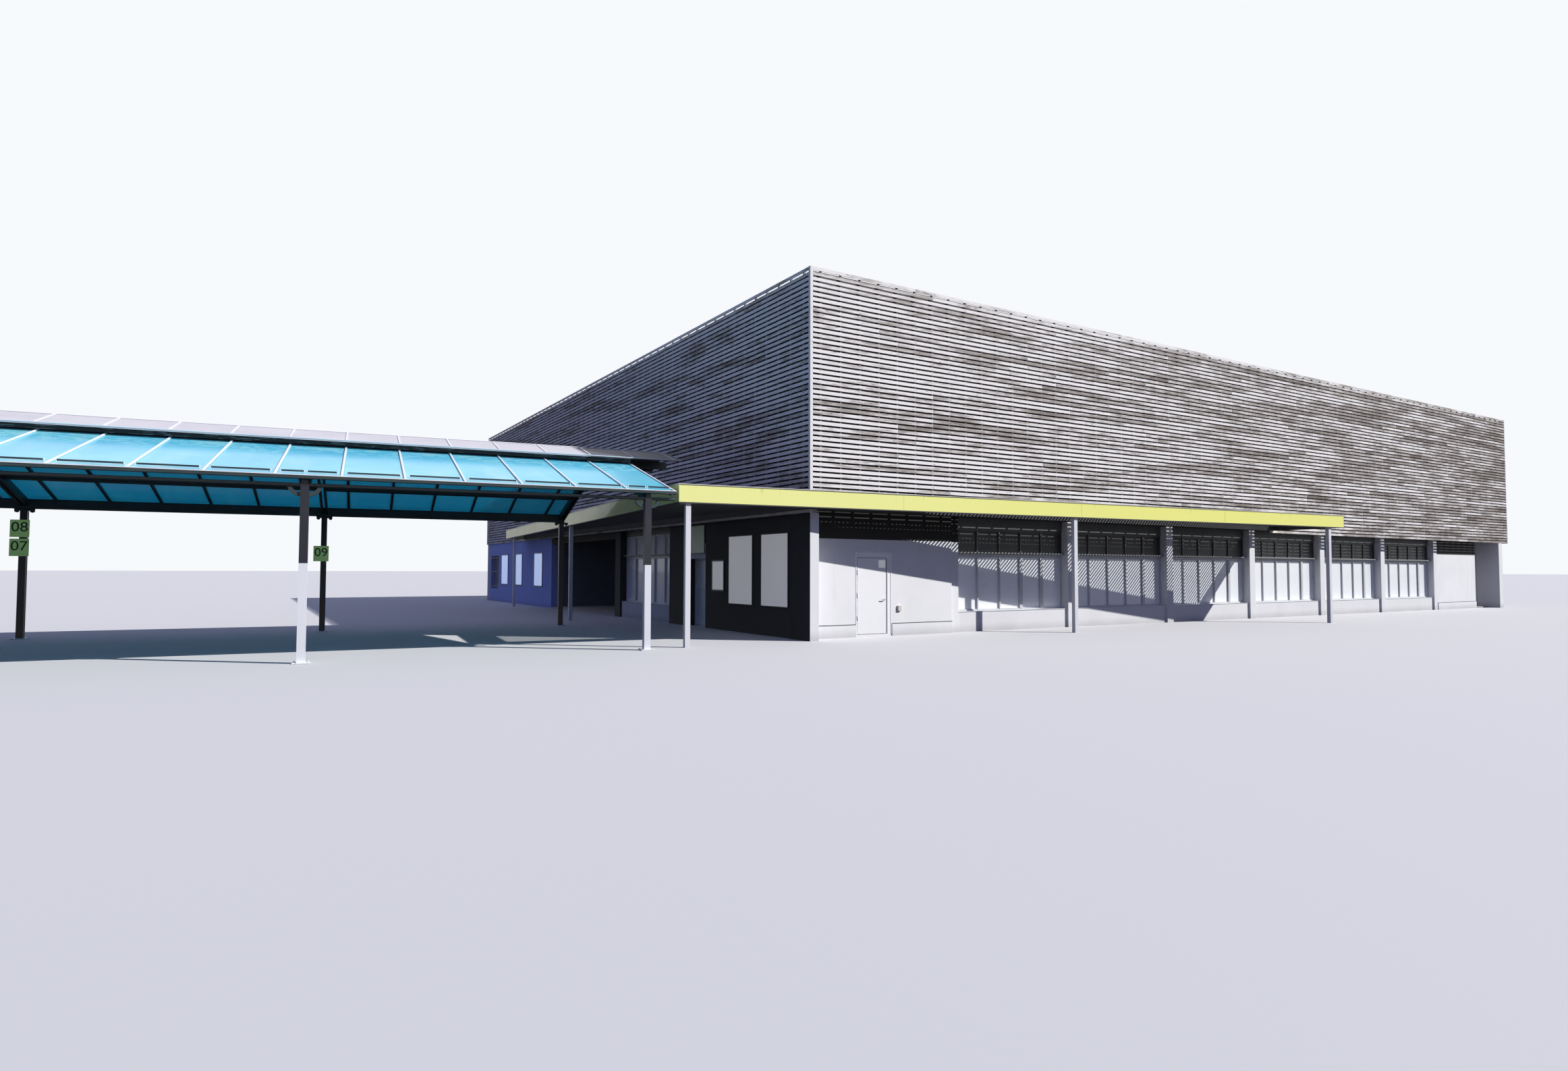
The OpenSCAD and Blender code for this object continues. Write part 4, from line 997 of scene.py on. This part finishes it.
def stage():
    """Pale floor that keeps the shadow, a low sun and a blue fill."""
    bpy.ops.object.select_all(action="DESELECT")
    bpy.ops.mesh.primitive_plane_add(size=900)
    ground = bpy.context.object
    ground.name = "stage_floor"
    seen_color, lit_color = (0.62, 0.62, 0.63), (0.045, 0.045, 0.05)
    f = Finish("stage_floor", seen_color, 0.9)
    seen = f.node("ShaderNodeLightPath", output="Is Camera Ray")
    f.set("Base Color", f.blend(seen, lit_color, seen_color))
    ground.data.materials.append(f.material)

    sun_data = bpy.data.lights.new("key", "SUN")
    sun_data.energy, sun_data.angle = 4.8, math.radians(0.5)
    sun_data.color = (1.0, 0.985, 0.96)
    sun = bpy.data.objects.new("key", sun_data)
    toward_sun = Vector((1.115, -1.0, 1.099))
    sun.rotation_euler = toward_sun.to_track_quat("Z", "Y").to_euler()
    bpy.context.scene.collection.objects.link(sun)

    world = bpy.data.worlds.new("fill")
    bpy.context.scene.world = world
    world.use_nodes = True
    tree = world.node_tree
    tree.nodes.clear()
    output = tree.nodes.new("ShaderNodeOutputWorld")
    mix = tree.nodes.new("ShaderNodeMixShader")
    blue_fill, seen_sky = ((0.36, 0.44, 1, 1), 0.28), ((0.93, 0.95, 0.98, 1), 1)
    for slot, (color, strength) in enumerate((blue_fill, seen_sky), 1):
        light = tree.nodes.new("ShaderNodeBackground")
        light.inputs["Color"].default_value = color
        light.inputs["Strength"].default_value = strength
        tree.links.new(light.outputs[0], mix.inputs[slot])
    path = tree.nodes.new("ShaderNodeLightPath")
    straight = path.outputs["Is Camera Ray"]
    for ray in ("Is Glossy Ray", "Is Transmission Ray"):
        either = tree.nodes.new("ShaderNodeMath")
        either.operation = "MAXIMUM"
        tree.links.new(straight, either.inputs[0])
        tree.links.new(path.outputs[ray], either.inputs[1])
        straight = either.outputs[0]
    tree.links.new(straight, mix.inputs[0])
    tree.links.new(mix.outputs[0], output.inputs["Surface"])


def camera():
    """The photograph's camera: its place, its turn, its tilt and its slight roll."""
    turn, tilt, roll = -0.553921, 0.0401219, 0.0025727
    data = bpy.data.cameras.new("camera")
    data.sensor_fit, data.sensor_width, data.lens = "HORIZONTAL", 36, 19.9582
    data.clip_start, data.clip_end = 0.05, 2000
    eye = bpy.data.objects.new("camera", data)
    eye.matrix_world = (Matrix.Translation((-15.99341, -17.02096, 0.85139))
                        @ Matrix.Rotation(turn, 4, "Z")
                        @ Matrix.Rotation(math.pi / 2 + tilt, 4, "X")
                        @ Matrix.Rotation(roll, 4, "Z"))
    bpy.context.scene.collection.objects.link(eye)
    bpy.context.scene.camera = eye


stage()
camera()
bpy.context.scene.view_settings.view_transform = "Standard"
